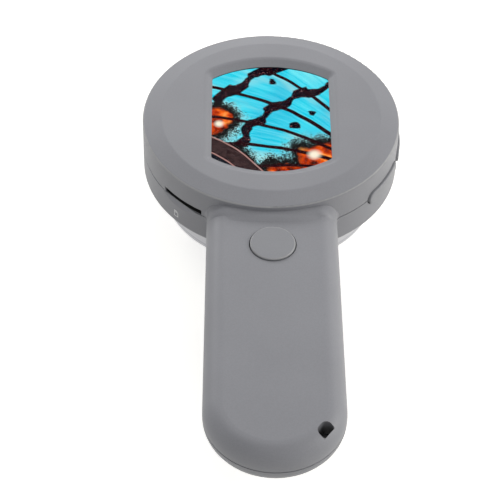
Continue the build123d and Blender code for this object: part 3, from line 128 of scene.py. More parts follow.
class Patterns(Graph):
    """A graph whose patterns go by the place on the object."""

    def __init__(self, tree):
        super().__init__(tree)
        self.place = self.node("ShaderNodeTexCoord").outputs["Object"]

    def stretch(self, scale, start=None):
        """Coordinates with one scale for each axis."""
        inputs = {"Vector": self.place if start is None else start, "Scale": scale}
        return self.node("ShaderNodeMapping", inputs).outputs[0]

    def noise(self, scale, detail=2.0, start=None, out="Fac"):
        """Soft noise, with about scale lumps to the metre."""
        start = self.place if start is None else start
        inputs = {"Vector": start, "Scale": scale, "Detail": detail}
        return self.node("ShaderNodeTexNoise", inputs).outputs[out]

    def distance(self, x, y, start=None):
        """Level distance from an upright axis at x and y millimetres."""
        flat = self.vector("MULTIPLY", self.place if start is None else start, (1.0, 1.0, 0.0))
        return self.vector("DISTANCE", flat, (x * MM, y * MM, 0.0), out="Value")

    def step(self, value, low, high, out_low=0.0, out_high=1.0):
        """Smooth change from one level to another as the value passes a range."""
        names = ("Value", "From Min", "From Max", "To Min", "To Max")
        inputs = zip(names, (value, low, high, out_low, out_high))
        made = self.node("ShaderNodeMapRange", inputs, interpolation_type="SMOOTHSTEP")
        return made.outputs["Result"]

    def ramp(self, share, *stops):
        """Colours that follow a share.  Each stop is a position and a colour."""
        made = self.node("ShaderNodeValToRGB", {0: share})
        band = made.color_ramp
        band.elements[0].position, band.elements[1].position = stops[0][0], stops[-1][0]
        for position, _ in stops[1:-1]:
            band.elements.new(position)
        for element, (_, colour) in zip(band.elements, stops):
            element.color = rgba(colour)
        return made.outputs[0]

    def mix(self, share, below, above, blend="MIX"):
        inputs = {0: share, 6: rgba(below), 7: rgba(above)}
        return self.node("ShaderNodeMix", inputs, data_type="RGBA", blend_type=blend).outputs[2]


print("words for patterns:", ", ".join(word for word in vars(Patterns) if word[0] != "_"))

# %% [markdown]
# Last come the words that put a pattern on the surface: as its colour, its
# roughness, its glow or its bumps.  A number that is the same all over, such
# as the index of a plastic, is written straight on the surface shader.

# %% Words for a material


class Finish(Patterns):
    """The graph of one material.  shader sets the surface shader's own inputs."""

    def __init__(self, name, roughness=0.5, **shader):
        self.material = bpy.data.materials.new(name)
        self.material.use_nodes = True
        super().__init__(self.material.node_tree)
        self.shader = self.tree.nodes["Principled BSDF"].inputs
        self.roughness(roughness)
        for socket, value in shader.items():
            self.shader[socket.replace("_", " ")].default_value = value

    def colour(self, value):
        self.plug(self.shader["Base Color"], rgba(value))

    def roughness(self, value):
        self.plug(self.shader["Roughness"], value)

    def glow(self, colour, strength):
        self.plug(self.shader["Emission Color"], rgba(colour))
        self.plug(self.shader["Emission Strength"], strength)

    def bump(self, height, depth, strength):
        inputs = {"Strength": strength, "Distance": depth, "Height": height}
        self.plug(self.shader["Normal"], self.node("ShaderNodeBump", inputs).outputs[0])


finishes = {}
print("words for a material:", ", ".join(word for word in vars(Finish) if word[0] != "_"))

# %% [markdown]
# ## Details of the casing
#
# Three details of the casing go by place.  The first two are black paint that
# also paints shade, and a painted highlight.  The head's inside is painted
# black, so that no stray light reaches the sensor, and the black runs into the
# openings of the wall as painted shade, so the card slot, the seam and the
# window's edge look dark.  A lighter grey on the sharpest edges, the head's
# rim and the button's, is a painted highlight.
#
# Both could be painted by hand on a texture.  A rule about the place is
# shorter here, because the head and the button are round: a point is inside
# them, or near their edge, by its height and its distance from an axis.

# %% Black paint, painted shade and a painted highlight
# Black inside the head, which also paints shade into the slot, the seam and the window's edge.
BLACK_PAINT_AND_SHADE = (0.008, 0.008, 0.008)
# A lighter grey painted on sharp edges as a highlight.
PAINTED_HIGHLIGHT_GREY = (0.40, 0.40, 0.40)
HIGHLIGHT_SHARE = 0.55


def hypotenuse(finish, a, b):
    """Length of the long side over two sides at a right angle."""
    squares = [finish.math("MULTIPLY", side, side) for side in (a, b)]
    return finish.math("SQRT", finish.chain("ADD", squares))


def black_paint_and_shade_inside(finish, skin, radius, floor_z, ceiling_z):
    """Black on the walls of the round space about the optical axis: paint inside, and painted
    shade where it reaches the openings of the wall.
    """
    height = finish.split(finish.place)[2]
    limits = (
        finish.math("LESS_THAN", finish.distance(0.0, 0.0), radius * MM),
        finish.math("GREATER_THAN", height, floor_z * MM),
        finish.math("LESS_THAN", height, ceiling_z * MM),
    )
    return finish.mix(finish.chain("MULTIPLY", limits), skin, BLACK_PAINT_AND_SHADE)


def painted_edge_highlight(finish, skin, centre, radius, height, reach):
    """Painted highlight round a circular edge, full near it and gone at a reach."""
    out = finish.math("SUBTRACT", finish.distance(*centre), radius * MM)
    up = finish.math("SUBTRACT", finish.split(finish.place)[2], height * MM)
    share = finish.step(hypotenuse(finish, out, up), 0.6 * reach * MM, reach * MM, HIGHLIGHT_SHARE, 0.0)
    return finish.mix(share, skin, PAINTED_HIGHLIGHT_GREY)


# Prints the black, which is also painted shade, and the grey of the painted highlight.
print("black paint:", BLACK_PAINT_AND_SHADE, "polished grey:", PAINTED_HIGHLIGHT_GREY)

# %% [markdown]
# The third detail is painted shade.  The strap hole is a slot with one straight side
# and two well rounded corners, like a D, and its walls are painted darker towards its bottom, as
# shade.
# Turned coordinates make the D upright.  A point is then inside it when it is
# near enough to the round corners' centres and short of the straight side.
# The rule reaches a hair into the wall, so that it covers the wall's surface.

# %% Painted shade in the strap hole
# Painted shade: the strap hole's walls darken towards its bottom.
HOLE_SHADE = (0.006, 0.006, 0.006)
HOLE_SHADE_DEEP, HOLE_SHADE_TOP = 0.97, 0.35
INTO_WALL = 0.04


def shade_painted_hole(finish, skin, centre, turn, half_width, half_length, round_side, deep_z, top_z):
    """Painted shade on the walls of an upright D-shaped hole, darker the deeper they are.

    The hole is turned about its centre, and round_side is the radius of the
    two corners on the side of its negative axis.
    """
    back = -math.radians(turn)
    middle = Matrix.Rotation(back, 2) @ Vector(centre) * MM
    upright = {"Rotation": (0.0, 0.0, back), "Location": (-middle.x, -middle.y, 0.0)}
    turned = finish.node("ShaderNodeMapping", {"Vector": finish.place, **upright}).outputs[0]
    u, v, height = finish.split(turned)
    past_u = finish.math("SUBTRACT", (round_side - half_width) * MM, u)
    past_v = finish.math("SUBTRACT", finish.math("ABSOLUTE", v), (half_length - round_side) * MM)
    past_corner = [finish.math("MAXIMUM", past, 0.0) for past in (past_u, past_v)]
    from_corner = hypotenuse(finish, *past_corner)
    limits = (
        finish.math("LESS_THAN", from_corner, (round_side + INTO_WALL) * MM),
        finish.math("LESS_THAN", u, (half_width + INTO_WALL) * MM),
        finish.step(height, deep_z * MM, top_z * MM, HOLE_SHADE_DEEP, HOLE_SHADE_TOP),
    )
    return finish.mix(finish.chain("MULTIPLY", limits), skin, HOLE_SHADE)


# Shares of the painted shade in the strap hole, deep and at the top.
print("share of grime, deep and at the top:", HOLE_SHADE_DEEP, HOLE_SHADE_TOP)

# %% [markdown]
# ## Moulded casing plastic
#
# The casing is injection-moulded ABS.  The mould was spark-eroded, which
# leaves a satin surface of tiny craters a few tenths of a millimetre apart,
# and the thick places cool a little differently, so the grey drifts slightly
# over large distances.  Two noises give both: a coarse one for the colour and
# a fine one for roughness and bump.  The button and the side keys are moulded
# the same way, from a slightly darker batch.

# %% Casing and key plastic
DRIFTS_PER_METRE, CRATERS_PER_METRE = 45.0, 2600.0
CRATER_DEPTH = 0.02 * MM
CASING_GREY = (0.243, 0.246, 0.267)
KEY_GREY = (0.236, 0.240, 0.258)
# Sizes of the painted highlights on the head's rim and the button's.
HEAD_RIM_HIGHLIGHT = {"centre": (0.0, 0.0), "radius": 39.2, "height": 30.2, "reach": 0.43}
BUTTON_RIM_HIGHLIGHT = {"centre": (0.0, -51.5), "radius": 6.6, "height": 28.1, "reach": 0.42}
# The black inside the head reaches into the openings of the wall as painted shade.
HEAD_INSIDE_BLACK_AND_SHADE = {"radius": 38.52, "floor_z": 12.9, "ceiling_z": 30.04}
# Where the painted shade in the strap hole goes.
STRAP_HOLE_SHADE = {
    "centre": (13.07, -118.97),
    "turn": -36.2,
    "half_width": 1.575,
    "half_length": 2.45,
    "round_side": 1.8,
    "deep_z": 22.5,
    "top_z": 27.0,
}


def scaled(colour, factor):
    """A lighter or darker shade of a colour."""
    return tuple(min(1.0, channel * factor) for channel in colour)


def moulded(name, grey, roughness, details):
    """Satin moulded plastic with a faint drift in its colour.

    details pairs functions that change the colour by place with their sizes.
    """
    finish = Finish(name, IOR=1.46)
    drift = finish.noise(DRIFTS_PER_METRE, detail=3.0)
    craters = finish.noise(CRATERS_PER_METRE, detail=1.0)
    tone = finish.ramp(drift, (0.3, scaled(grey, 0.965)), (0.7, scaled(grey, 1.03)))
    fleck = finish.ramp(craters, (0.35, (0.94, 0.94, 0.94)), (0.65, (1.0, 1.0, 1.0)))
    skin = finish.mix(1.0, tone, fleck, blend="MULTIPLY")
    for detail, sizes in details:
        skin = detail(finish, skin, **sizes)
    finish.colour(skin)
    finish.roughness(finish.step(craters, 0.3, 0.7, roughness - 0.05, roughness + 0.06))
    finish.bump(craters, CRATER_DEPTH, strength=0.5)
    return finish.material


# The casing gets a painted highlight on its rim, painted shade in the strap hole, and black inside
# that paints shade into the openings.
casing_details = (
    (painted_edge_highlight, HEAD_RIM_HIGHLIGHT),
    (shade_painted_hole, STRAP_HOLE_SHADE),
    (black_paint_and_shade_inside, HEAD_INSIDE_BLACK_AND_SHADE),
)
finishes["casing_plastic"] = moulded("casing_plastic", CASING_GREY, 0.50, casing_details)
# The button's rim gets a painted highlight too.
finishes["key_plastic"] = moulded("key_plastic", KEY_GREY, 0.46, ((painted_edge_highlight, BUTTON_RIM_HIGHLIGHT),))
print("casing grey:", CASING_GREY, "key grey:", KEY_GREY)

# %% [markdown]
# ## Frosted hood
#
# The hood is clear plastic with a frosted surface, so light from the lamps
# inside spreads evenly.  It could be made as rough glass, but then it needs
# many samples and shows the hidden parts.  A milky colour with subsurface
# scattering gives the same depth, and a weak painted glow lightens it, as the
# lamps that are on inside would.  Height along Z picks out the thin foot at
# the bottom, where the wall is thick and looks darker.

# %% Hood plastic
HOOD_PAINTED_GLOW = 0.22
STREAKS_PER_METRE, FROST_PER_METRE = 60.0, 3200.0
FOOT_HEIGHT = 1.5
hood = Finish(
    "hood_plastic",
    roughness=0.42,
    IOR=1.5,
    Subsurface_Weight=0.35,
    Subsurface_Scale=0.002,
    Subsurface_Radius=(1.0, 0.95, 1.1),
)
# Painted light: the hood is no lamp, but this glow lightens it.
hood.glow((0.95, 0.95, 1.0), HOOD_PAINTED_GLOW)
streaks = hood.noise(STREAKS_PER_METRE, start=hood.stretch((1.0, 1.0, 12.0)))
milk = hood.ramp(streaks, (0.3, (0.35, 0.35, 0.36)), (0.7, (0.40, 0.40, 0.41)))
from_foot = hood.apart(hood.split(hood.place)[2], FOOT_HEIGHT * MM)
foot_line = hood.step(from_foot, 0.15 * MM, 0.6 * MM, 1.0, 0.0)
hood.colour(hood.mix(foot_line, milk, (0.24, 0.24, 0.26)))
hood.bump(hood.noise(FROST_PER_METRE, detail=1.0), 0.015 * MM, strength=0.4)
finishes["hood_plastic"] = hood.material
print("hood glow:", HOOD_PAINTED_GLOW)

# %% [markdown]
# ## Clear window and lenses
#
# The cover over the screen and the lenses are clear.  Light passes straight
# through them, so each takes full transmission and a low roughness.  The cover
# has an anti-glare coating: a low index and a dark specular tint weaken its
# reflections, and the blacks of the picture stay black.  The lenses have a
# faint green tint, and the infrared filter a stronger one.

# %% Clear materials
POLISHED_ROUGHNESS = 0.02
CLEAR_TINT, COVER_INDEX, COVER_GLARE = (0.985, 0.99, 0.99), 1.10, 0.03


def clear(name, tint, ior, glare=1.0):
    """Polished clear plastic or glass.  A coated one has little glare."""
    grey = (glare, glare, glare, 1.0)
    finish = Finish(name, IOR=ior, Transmission_Weight=1.0, Specular_Tint=grey)
    haze = finish.noise(300.0)
    finish.roughness(finish.step(haze, 0.3, 0.8, POLISHED_ROUGHNESS, POLISHED_ROUGHNESS + 0.03))
    finish.colour(finish.ramp(haze, (0.2, scaled(tint, 0.985)), (0.8, tint)))
    return finish.material


finishes["clear_cover"] = clear("clear_cover", CLEAR_TINT, COVER_INDEX, COVER_GLARE)
finishes["lens_glass"] = clear("lens_glass", (0.90, 0.96, 0.95), ior=1.6)
finishes["filter_glass"] = clear("filter_glass", (0.62, 0.90, 0.88), ior=1.52)
print("cover: index", COVER_INDEX, "and glare", COVER_GLARE)

# %% [markdown]
# ## The picture on the screen
#
# A microscope like this shows a bright, strongly coloured close-up.  The
# picture here is invented: a turquoise insect's wing with dark veins that fan
# out from one corner, a brown edge, and patches of orange scales.  It could be
# a painted image on the panel.  Worked out from the place on the panel
# instead, it stays sharp at any size and needs no file.
#
# Nothing on a wing is a perfect circle or line.  So most shapes are drawn in
# coordinates that a noise has pushed about, each by as much as its own edge
# needs: a little for the wing, more for its blots and patches.  Patches, dots
# and glares are given by their place on the panel and their radius, in
# millimetres.

# %% Picture coordinates
screen = Finish("panel_glass", roughness=0.3, Specular_IOR_Level=0.0)


def warped(start, scale, amount):
    """Coordinates pushed about by a noise, by an amount in millimetres."""
    push = screen.noise(scale, detail=3.0, start=start, out="Color")
    push = screen.vector("SUBTRACT", push, (0.5, 0.5, 0.5))
    return screen.vector("MULTIPLY_ADD", push, (amount * MM, amount * MM, 0.0), start)


def within(away, radius, soft, most=1.0):
    """The most closer than a radius, 0 further off, in millimetres."""
    return screen.step(away, (radius - soft) * MM, (radius + soft) * MM, most, 0.0)


wing = warped(screen.place, 70.0, 1.6)
ragged = warped(screen.place, 420.0, 3.2)
uneven = warped(ragged, 110.0, 7.0)
lumpy = warped(warped(screen.place, 700.0, 1.0), 190.0, 4.0)
print("picture: wing, ragged, uneven and lumpy coordinates")

# %% [markdown]
# A vein is easiest to draw in polar coordinates: the distance from the point
# where the veins meet, and the angle round it.  Making the angle grow a little
# with the distance bends every vein the same way.  For noises that follow the
# veins, the angle also becomes a length, as it is on an arc 40 mm out.

# %% Vein coordinates
VEIN_ROOT = (31.0, -25.0)
VEIN_BEND = 7.0
VEIN_SPREAD = 40.0
wing_x, wing_y, _ = screen.split(wing)
left_of_root = screen.math("SUBTRACT", VEIN_ROOT[0] * MM, wing_x)
above_root = screen.math("SUBTRACT", wing_y, VEIN_ROOT[1] * MM)
reach = screen.distance(*VEIN_ROOT, wing)
turned = screen.math("ARCTAN2", above_root, left_of_root)
turned = screen.math("MULTIPLY_ADD", reach, VEIN_BEND, turned)
along_and_across = enumerate((reach, screen.math("MULTIPLY", turned, VEIN_SPREAD * MM)))
vein_place = screen.node("ShaderNodeCombineXYZ", along_and_across).outputs[0]
print("picture: veins meet at", VEIN_ROOT, "mm")

# %% [markdown]
# The wing's skin is turquoise.  Its sheen drifts slowly over the picture, and
# fine fibres run along the veins, so their noise is stretched in the polar
# coordinates.  A pale bloom lies on it in long streaks, and the skin pales
# near the orange patches too, so their warmth is worked out here already: it
# is 1 in the middle of a patch and fades around it.

# %% Turquoise skin
PATCHES = ((15.5, -17.0, 7.0), (-18.0, -1.0, 5.5), (3.5, -25.5, 5.5), (-16.0, -22.0, 8.0))


def streaked(long, fine, detail):
    """Noise in streaks that follow the veins."""
    return screen.noise(1.0, detail, start=screen.stretch((long, fine, 1.0), start=vein_place))


sheen = screen.noise(55.0, start=wing)
skin = screen.ramp(
    sheen, (0.30, (0.0, 0.52, 0.78)), (0.50, (0.0, 0.72, 0.92)), (0.68, (0.16, 0.84, 0.95))
)
fibres = streaked(70.0, 950.0, 3.0)
fibres = screen.ramp(fibres, (0.35, (0.0, 0.42, 0.60)), (0.65, (0.30, 0.92, 0.97)))
skin = screen.mix(0.30, skin, fibres)
pale = screen.ramp(sheen, (0.3, (0.30, 0.72, 0.74)), (0.7, (0.62, 0.88, 0.86)))
bloom = screen.step(streaked(38.0, 160.0, 2.0), 0.50, 0.68, 0.0, 0.65)
skin = screen.mix(bloom, skin, pale)
around_patches = []
for x, y, radius in PATCHES:
    around_patches.append(within(screen.distance(x, y, uneven), radius + 1.5, 7.5))
warmth = screen.chain("MAXIMUM", around_patches)
skin = screen.mix(screen.step(warmth, 0.02, 0.45, 0.0, 0.85), skin, pale)
print("picture:", len(PATCHES), "orange patches planned")

# %% [markdown]
# Dark blots cross the wing from vein to vein.  They are what is left of two
# dark bands, which run round the root of the veins, when rounded cells are cut
# out of them on both sides, so each blot clings to a vein and narrows between
# two.  A few dots lie loose on the skin.  Inside the blots the scales have
# come off, so red and white grains show on the black.

# %% Blots
BAND_REACHES, BAND_HALF = (43.0, 58.0), 2.6
CELL_ANGLES = (29.5, 44.0, 58.0, 72.5, 88.0)
CELL_OFFSET, CELL_RADIUS = 5.3, 4.6
DOTS = ((7.5, -2.5, 1.5), (13.0, 4.0, 1.1), (-13.0, 12.5, 1.3), (1.0, 18.0, 1.0))
BLOT_SOFT = 0.25


def between_veins(distance, angle):
    """Point of the picture at a distance and an angle from where the veins meet."""
    bent = math.radians(angle) - VEIN_BEND * distance * MM
    return VEIN_ROOT[0] - distance * math.cos(bent), VEIN_ROOT[1] + distance * math.sin(bent)


bands, to_cells = [], []
for band_reach in BAND_REACHES:
    bands.append(within(screen.apart(reach, band_reach * MM), BAND_HALF, BLOT_SOFT))
    for angle in CELL_ANGLES:
        for cell_reach in (band_reach - CELL_OFFSET, band_reach + CELL_OFFSET):
            to_cells.append(screen.distance(*between_veins(cell_reach, angle), lumpy))
cell = within(screen.chain("MINIMUM", to_cells), CELL_RADIUS, BLOT_SOFT)
blot = screen.math("MULTIPLY", screen.chain("MAXIMUM", bands), screen.math("SUBTRACT", 1.0, cell))
dots = [within(screen.distance(x, y, lumpy), radius, BLOT_SOFT) for x, y, radius in DOTS]
blot = screen.chain("MAXIMUM", [blot, *dots])
grains = screen.noise(1700.0)
loose = screen.ramp(
    grains, (0.57, (0.002, 0.002, 0.006)), (0.66, (0.12, 0.010, 0.014)), (0.76, (0.60, 0.38, 0.38))
)
picture = screen.mix(blot, skin, loose)
print("picture:", len(to_cells), "cells,", len(dots), "dots")

# %% [markdown]
# Orange scales cover the skin where the warmth is high.  Round them lies a
# fringe of black grains: the warmth is added to a fine noise, and where the
# sum is large enough there is soot.  The veins run over both, each with its
# own angle in degrees and half width.  Two of the patches catch the lamps in a
# white glare.

# %% Orange patches and veins
VEINS = ((22.0, 0.60), (37.0, 0.72), (51.0, 0.66), (65.0, 0.76), (80.0, 0.64))
GLARES = ((13.0, -15.0, 1.9), (-16.0, -1.5, 1.4))
SOOT = (0.008, 0.008, 0.008)
MAROON = (0.017, 0.002, 0.004)
GLARE_WHITE = (1.0, 0.90, 0.72)
orange = screen.ramp(
    screen.noise(300.0, detail=4.0, start=ragged),
    (0.32, (0.06, 0.006, 0.003)),
    (0.45, (0.50, 0.035, 0.003)),
    (0.58, (0.90, 0.12, 0.006)),
    (0.74, (1.0, 0.42, 0.09)),
)
sooty = screen.math("ADD", screen.noise(2600.0), screen.math("MULTIPLY", warmth, 1.05))
picture = screen.mix(screen.step(sooty, 0.70, 0.84), picture, SOOT)
picture = screen.mix(screen.step(warmth, 0.52, 0.68), picture, orange)
veins = []
for angle, half_width in VEINS:
    off = screen.apart(turned, math.radians(angle))
    veins.append(within(screen.math("MULTIPLY", off, reach), half_width, 0.12))
picture = screen.mix(screen.chain("MAXIMUM", veins), picture, MAROON)
for x, y, radius in GLARES:
    glare = within(screen.distance(x, y, wing), 0.9 * radius, 0.6 * radius)
    picture = screen.mix(glare, picture, GLARE_WHITE)
print("picture:", len(veins), "veins,", len(GLARES), "glares")

# %% [markdown]
# The brown edge of the wing is a band of even width about a large circle, with
# a dark gap below it and a thin pink lip on both sides.  The whole picture
# then lights the panel, at the strength where a colour shows as it is written.
# The panel itself is nearly black, as a screen is when it is off.

# %% Brown edge and panel
EDGE_MIDDLE, EDGE_RADIUS, EDGE_HALF = (-40.0, -46.0), 41.5, 2.9
GAP_BLACK = (0.010, 0.012, 0.018)
LIP_PINK = (0.55, 0.30, 0.27)
from_middle = screen.distance(*EDGE_MIDDLE, wing)
across = screen.apart(from_middle, EDGE_RADIUS * MM)
gap = screen.apart(from_middle, (EDGE_RADIUS - EDGE_HALF - 1.1) * MM)
lip = screen.apart(across, EDGE_HALF * MM)
bark = screen.ramp(
    screen.noise(800.0, detail=3.0), (0.35, (0.020, 0.010, 0.012)), (0.65, (0.065, 0.036, 0.036))
)
picture = screen.mix(within(across, EDGE_HALF + 0.1, 0.1), picture, bark)
picture = screen.mix(within(gap, 1.0, 0.1), picture, GAP_BLACK)
picture = screen.mix(within(lip, 0.22, 0.12, most=0.8), picture, LIP_PINK)
screen.colour((0.002, 0.002, 0.002))
screen.glow(picture, 1.0)
finishes["panel_glass"] = screen.material
print("picture: nodes in all:", len(screen.tree.nodes))

# %% [markdown]
# ## Metals, boards and small parts
#
# Most of what is inside is hidden, but it shows through the slot, the hood
# and the port, and anyone who opens the model meets it.  Steel sheet carries
# fine rolling lines, so its noise is stretched along one way.

# %% Metals
ROLLING_LINES = (400.0, 6000.0, 6000.0)


def sheet_metal(name, tint, roughness):
    """Metal with rolling lines."""
    finish = Finish(name, Metallic=1.0)
    rolled = finish.noise(1.0, start=finish.stretch(ROLLING_LINES))
    finish.colour(finish.ramp(rolled, (0.3, scaled(tint, 0.86)), (0.7, scaled(tint, 1.08))))
    finish.roughness(finish.step(rolled, 0.3, 0.7, roughness - 0.06, roughness + 0.08))
    finish.bump(rolled, 0.01 * MM, strength=0.4)
    return finish.material


METALS = {
    "bracket_steel": ((0.52, 0.53, 0.55), 0.38),
    "screw_steel": ((0.50, 0.50, 0.51), 0.30),
    "socket_steel": ((0.62, 0.62, 0.60), 0.28),
    "cell_foil": ((0.62, 0.63, 0.65), 0.34),
    "contact_gold": ((0.85, 0.62, 0.25), 0.25),
}
for slot, (tint, roughness) in METALS.items():
    finishes[slot] = sheet_metal(slot, tint, roughness)
print("metals:", len(METALS))

# %% [markdown]
# A circuit board shows faint copper tracks under its green lacquer.  A brick
# pattern of long thin bricks makes good tracks, if a noise leaves them out in
# places.

# %% Circuit board
TRACKS = {
    "Scale": 260.0,
    "Mortar Size": 0.09,
    "Mortar Smooth": 0.2,
    "Brick Width": 1.7,
    "Row Height": 0.35,
}
LACQUER_GREEN, TRACK_GREEN = (0.006, 0.075, 0.028), (0.025, 0.17, 0.06)
board = Finish("circuit_board", roughness=0.32, Coat_Weight=0.4)
bricks = {"Vector": board.place, **TRACKS}
bricks = board.node("ShaderNodeTexBrick", bricks, offset=0.37, squash=1.6)
track_areas = board.step(board.noise(180.0), 0.46, 0.52)
tracks = board.math("MULTIPLY", bricks.outputs["Fac"], track_areas)
board.colour(board.mix(tracks, LACQUER_GREEN, TRACK_GREEN))
board.bump(tracks, 0.03 * MM, strength=0.5)
finishes["circuit_board"] = board.material
print("board: bricks to the metre:", TRACKS["Scale"])

# %% [markdown]
# Moulded chips, films and foams have a very fine grain, the same for all of
# them, so one table gives each its tint and its roughness.

# %% Small mouldings
FINE_GRAIN = 4000.0
MOULDINGS = {
    "gasket_foam": ((0.018, 0.018, 0.02), 0.9),
    "backlight_plastic": ((0.80, 0.81, 0.80), 0.5),
    "flex_film": ((0.42, 0.16, 0.03), 0.3),
    "chip_package": ((0.022, 0.022, 0.025), 0.55),
    "coil_ferrite": ((0.06, 0.06, 0.065), 0.7),
    "connector_plastic": ((0.68, 0.65, 0.55), 0.45),
    "switch_body": ((0.03, 0.03, 0.033), 0.5),
    "switch_plunger": ((0.45, 0.07, 0.03), 0.4),
    "tape": ((0.72, 0.72, 0.66), 0.7),
    "lead_jacket": ((0.42, 0.015, 0.012), 0.45),
    "sensor_glass": ((0.03, 0.05, 0.07), 0.15),
    "holder_plastic": ((0.02, 0.02, 0.022), 0.6),
    "barrel_plastic": ((0.024, 0.024, 0.027), 0.45),
    "lamp_emitter": ((0.85, 0.66, 0.16), 0.4),
}


def plain_moulding(name, tint, roughness):
    """Small moulded part with a fine grain."""
    finish = Finish(name)
    fine = finish.noise(FINE_GRAIN)
    finish.colour(finish.ramp(fine, (0.3, scaled(tint, 0.85)), (0.7, scaled(tint, 1.12))))
    finish.roughness(finish.step(fine, 0.3, 0.7, roughness - 0.06, roughness + 0.06))
    finish.bump(fine, 0.01 * MM, strength=0.4)
    return finish.material


for slot, (tint, roughness) in MOULDINGS.items():
    finishes[slot] = plain_moulding(slot, tint, roughness)
print("small mouldings:", len(MOULDINGS))

# %% [markdown]
# ## Dress every piece
#
# The record names one finish slot for each piece, so one loop dresses the
# whole model.  A slot with no finish would stop the script here.

# %% Hand out the finishes
for name, piece in nodes.items():
    piece.data.materials.clear()
    piece.data.materials.append(finishes[slot_of[name]])
print("finishes:", len(finishes))

# %% [markdown]
# ## Card sign
#
# Beside the card slot a small sign is pad-printed in pale ink.  It is a card
# with a cut corner and a row of contacts.  It could be a patch of colour in
# the casing's own material, but its fine strokes would blur in an export.  Ink
# is a film a few hundredths of a millimetre thick, so each stroke is a thin
# strip bent round the wall of the head.  An angle about the optical axis
# places the sign, and the wall's radius bends it.

# %% Strips of ink
WALL_RADIUS = nodes["upper_casing"].dimensions.x / 2
SIGN_ANGLE = -136.8
SIGN_HEIGHT = 15.2
INK = 0.02
STRIP_STEPS = 4


def on_wall(along, up, lift):
    """Point of the sign: millimetres round the wall, up it and off it."""
    angle = math.radians(SIGN_ANGLE) + along * MM / WALL_RADIUS
    radius = WALL_RADIUS + lift * MM
    return Vector((radius * math.cos(angle), radius * math.sin(angle), (SIGN_HEIGHT + up) * MM))


def strip(mesh, low_left, low_right, high_right, high_left):
    """Thin four-cornered patch of ink, divided so that it follows the wall."""
    rows = []
    for number in range(STRIP_STEPS + 1):
        share = number / STRIP_STEPS
        low = [a + (b - a) * share for a, b in zip(low_left, low_right)]
        high = [a + (b - a) * share for a, b in zip(high_left, high_right)]
        ends = [on_wall(*point, lift) for point in (low, high) for lift in (-INK, INK)]
        rows.append([mesh.verts.new(end) for end in ends])
    for (a0, a1, b0, b1), (c0, c1, d0, d1) in zip(rows, rows[1:]):
        for face in ((a1, c1, d1, b1), (a0, b0, d0, c0), (a0, c0, c1, a1), (b0, b1, d1, d0)):
            mesh.faces.new(face)
    for a0, a1, b0, b1 in (rows[0], rows[-1]):
        mesh.faces.new((a0, a1, b1, b0))


def bar(mesh, left, low, right, high):
    """Upright or level stroke, from edge to edge."""
    strip(mesh, (left, low), (right, low), (right, high), (left, high))


print("radius of the wall, mm:", round(WALL_RADIUS / MM, 2))

# %% [markdown]
# The card's outline is four bars and a slanting strip over the cut corner, and
# its contacts are three short bars.  The bars only meet end to end, so the ink
# is the same thickness everywhere.

# %% Print the card sign
HALF_WIDTH, HALF_HEIGHT, STROKE, CUT = 0.85, 1.15, 0.18, 0.55
CONTACTS, CONTACT_LOW, CONTACT_HIGH = (-0.42, -0.07, 0.28), 0.35, 0.80
inner_width, inner_height = HALF_WIDTH - STROKE, HALF_HEIGHT - STROKE
cut_x, cut_y = HALF_WIDTH - CUT, HALF_HEIGHT - CUT
sign_mesh = bmesh.new()
bar(sign_mesh, -HALF_WIDTH, -HALF_HEIGHT, -inner_width, HALF_HEIGHT)
bar(sign_mesh, inner_width, -HALF_HEIGHT, HALF_WIDTH, cut_y)
bar(sign_mesh, -inner_width, -HALF_HEIGHT, inner_width, -inner_height)
bar(sign_mesh, -inner_width, inner_height, cut_x, HALF_HEIGHT)
cut_low, cut_high = (inner_width, cut_y), (cut_x, inner_height)
strip(sign_mesh, cut_low, (HALF_WIDTH, cut_y), (cut_x, HALF_HEIGHT), cut_high)
for contact in CONTACTS:
    bar(sign_mesh, contact - STROKE / 2, CONTACT_LOW, contact + STROKE / 2, CONTACT_HIGH)
bmesh.ops.recalc_face_normals(sign_mesh, faces=sign_mesh.faces)
sign_data = bpy.data.meshes.new("card_sign")
sign_mesh.to_mesh(sign_data)
sign_mesh.free()
card_sign = bpy.data.objects.new("card_sign", sign_data)
bpy.context.scene.collection.objects.link(card_sign)
ink = Finish("sign_ink", roughness=0.55)
ink.colour(ink.ramp(ink.noise(5000.0), (0.3, (0.80, 0.80, 0.81)), (0.7, (0.90, 0.90, 0.91))))
sign_data.materials.append(ink.material)
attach(card_sign, "casing")
print("faces of the card sign:", len(sign_data.polygons))

# %% [markdown]
# ## Floor and surroundings
#
# The object stands on a pale table.  A plane just under the hood's foot keeps
# a soft shadow.  Part of its brightness is its own light, which only the
# camera, reflections and clear pieces see, so the paper reads as white without
# brighter lamps on the object.

# %% Floor
FLOOR_SIZE = 6.0
FLOOR_GLOW = 0.56
WHITE = (1.0, 1.0, 1.0)


def seen(graph):
    """1 where a ray shows a thing to the viewer, 0 where it only carries light."""
    paths = graph.node("ShaderNodeLightPath").outputs
    kinds = ("Is Camera Ray", "Is Transmission Ray", "Is Glossy Ray")
    return graph.chain("MAXIMUM", [paths[kind] for kind in kinds])


bpy.ops.mesh.primitive_plane_add(size=FLOOR_SIZE, location=(0, 0, -0.1 * MM))
floor = bpy.context.object
floor.name = "floor"
paper = Finish("floor_paper", roughness=0.9)
paper.colour(paper.ramp(paper.noise(20.0), (0.3, (0.81, 0.80, 0.76)), (0.7, (0.84, 0.83, 0.79))))
paper.glow(WHITE, paper.math("MULTIPLY", seen(paper), FLOOR_GLOW))
floor.data.materials.append(paper.material)
print("floor size, m:", FLOOR_SIZE)

# %% [markdown]
# The world is the room round the table.  It works as the floor does: the
# viewer sees it as plain white, and as a lamp it is weaker, so that colours
# come out about as they are written.

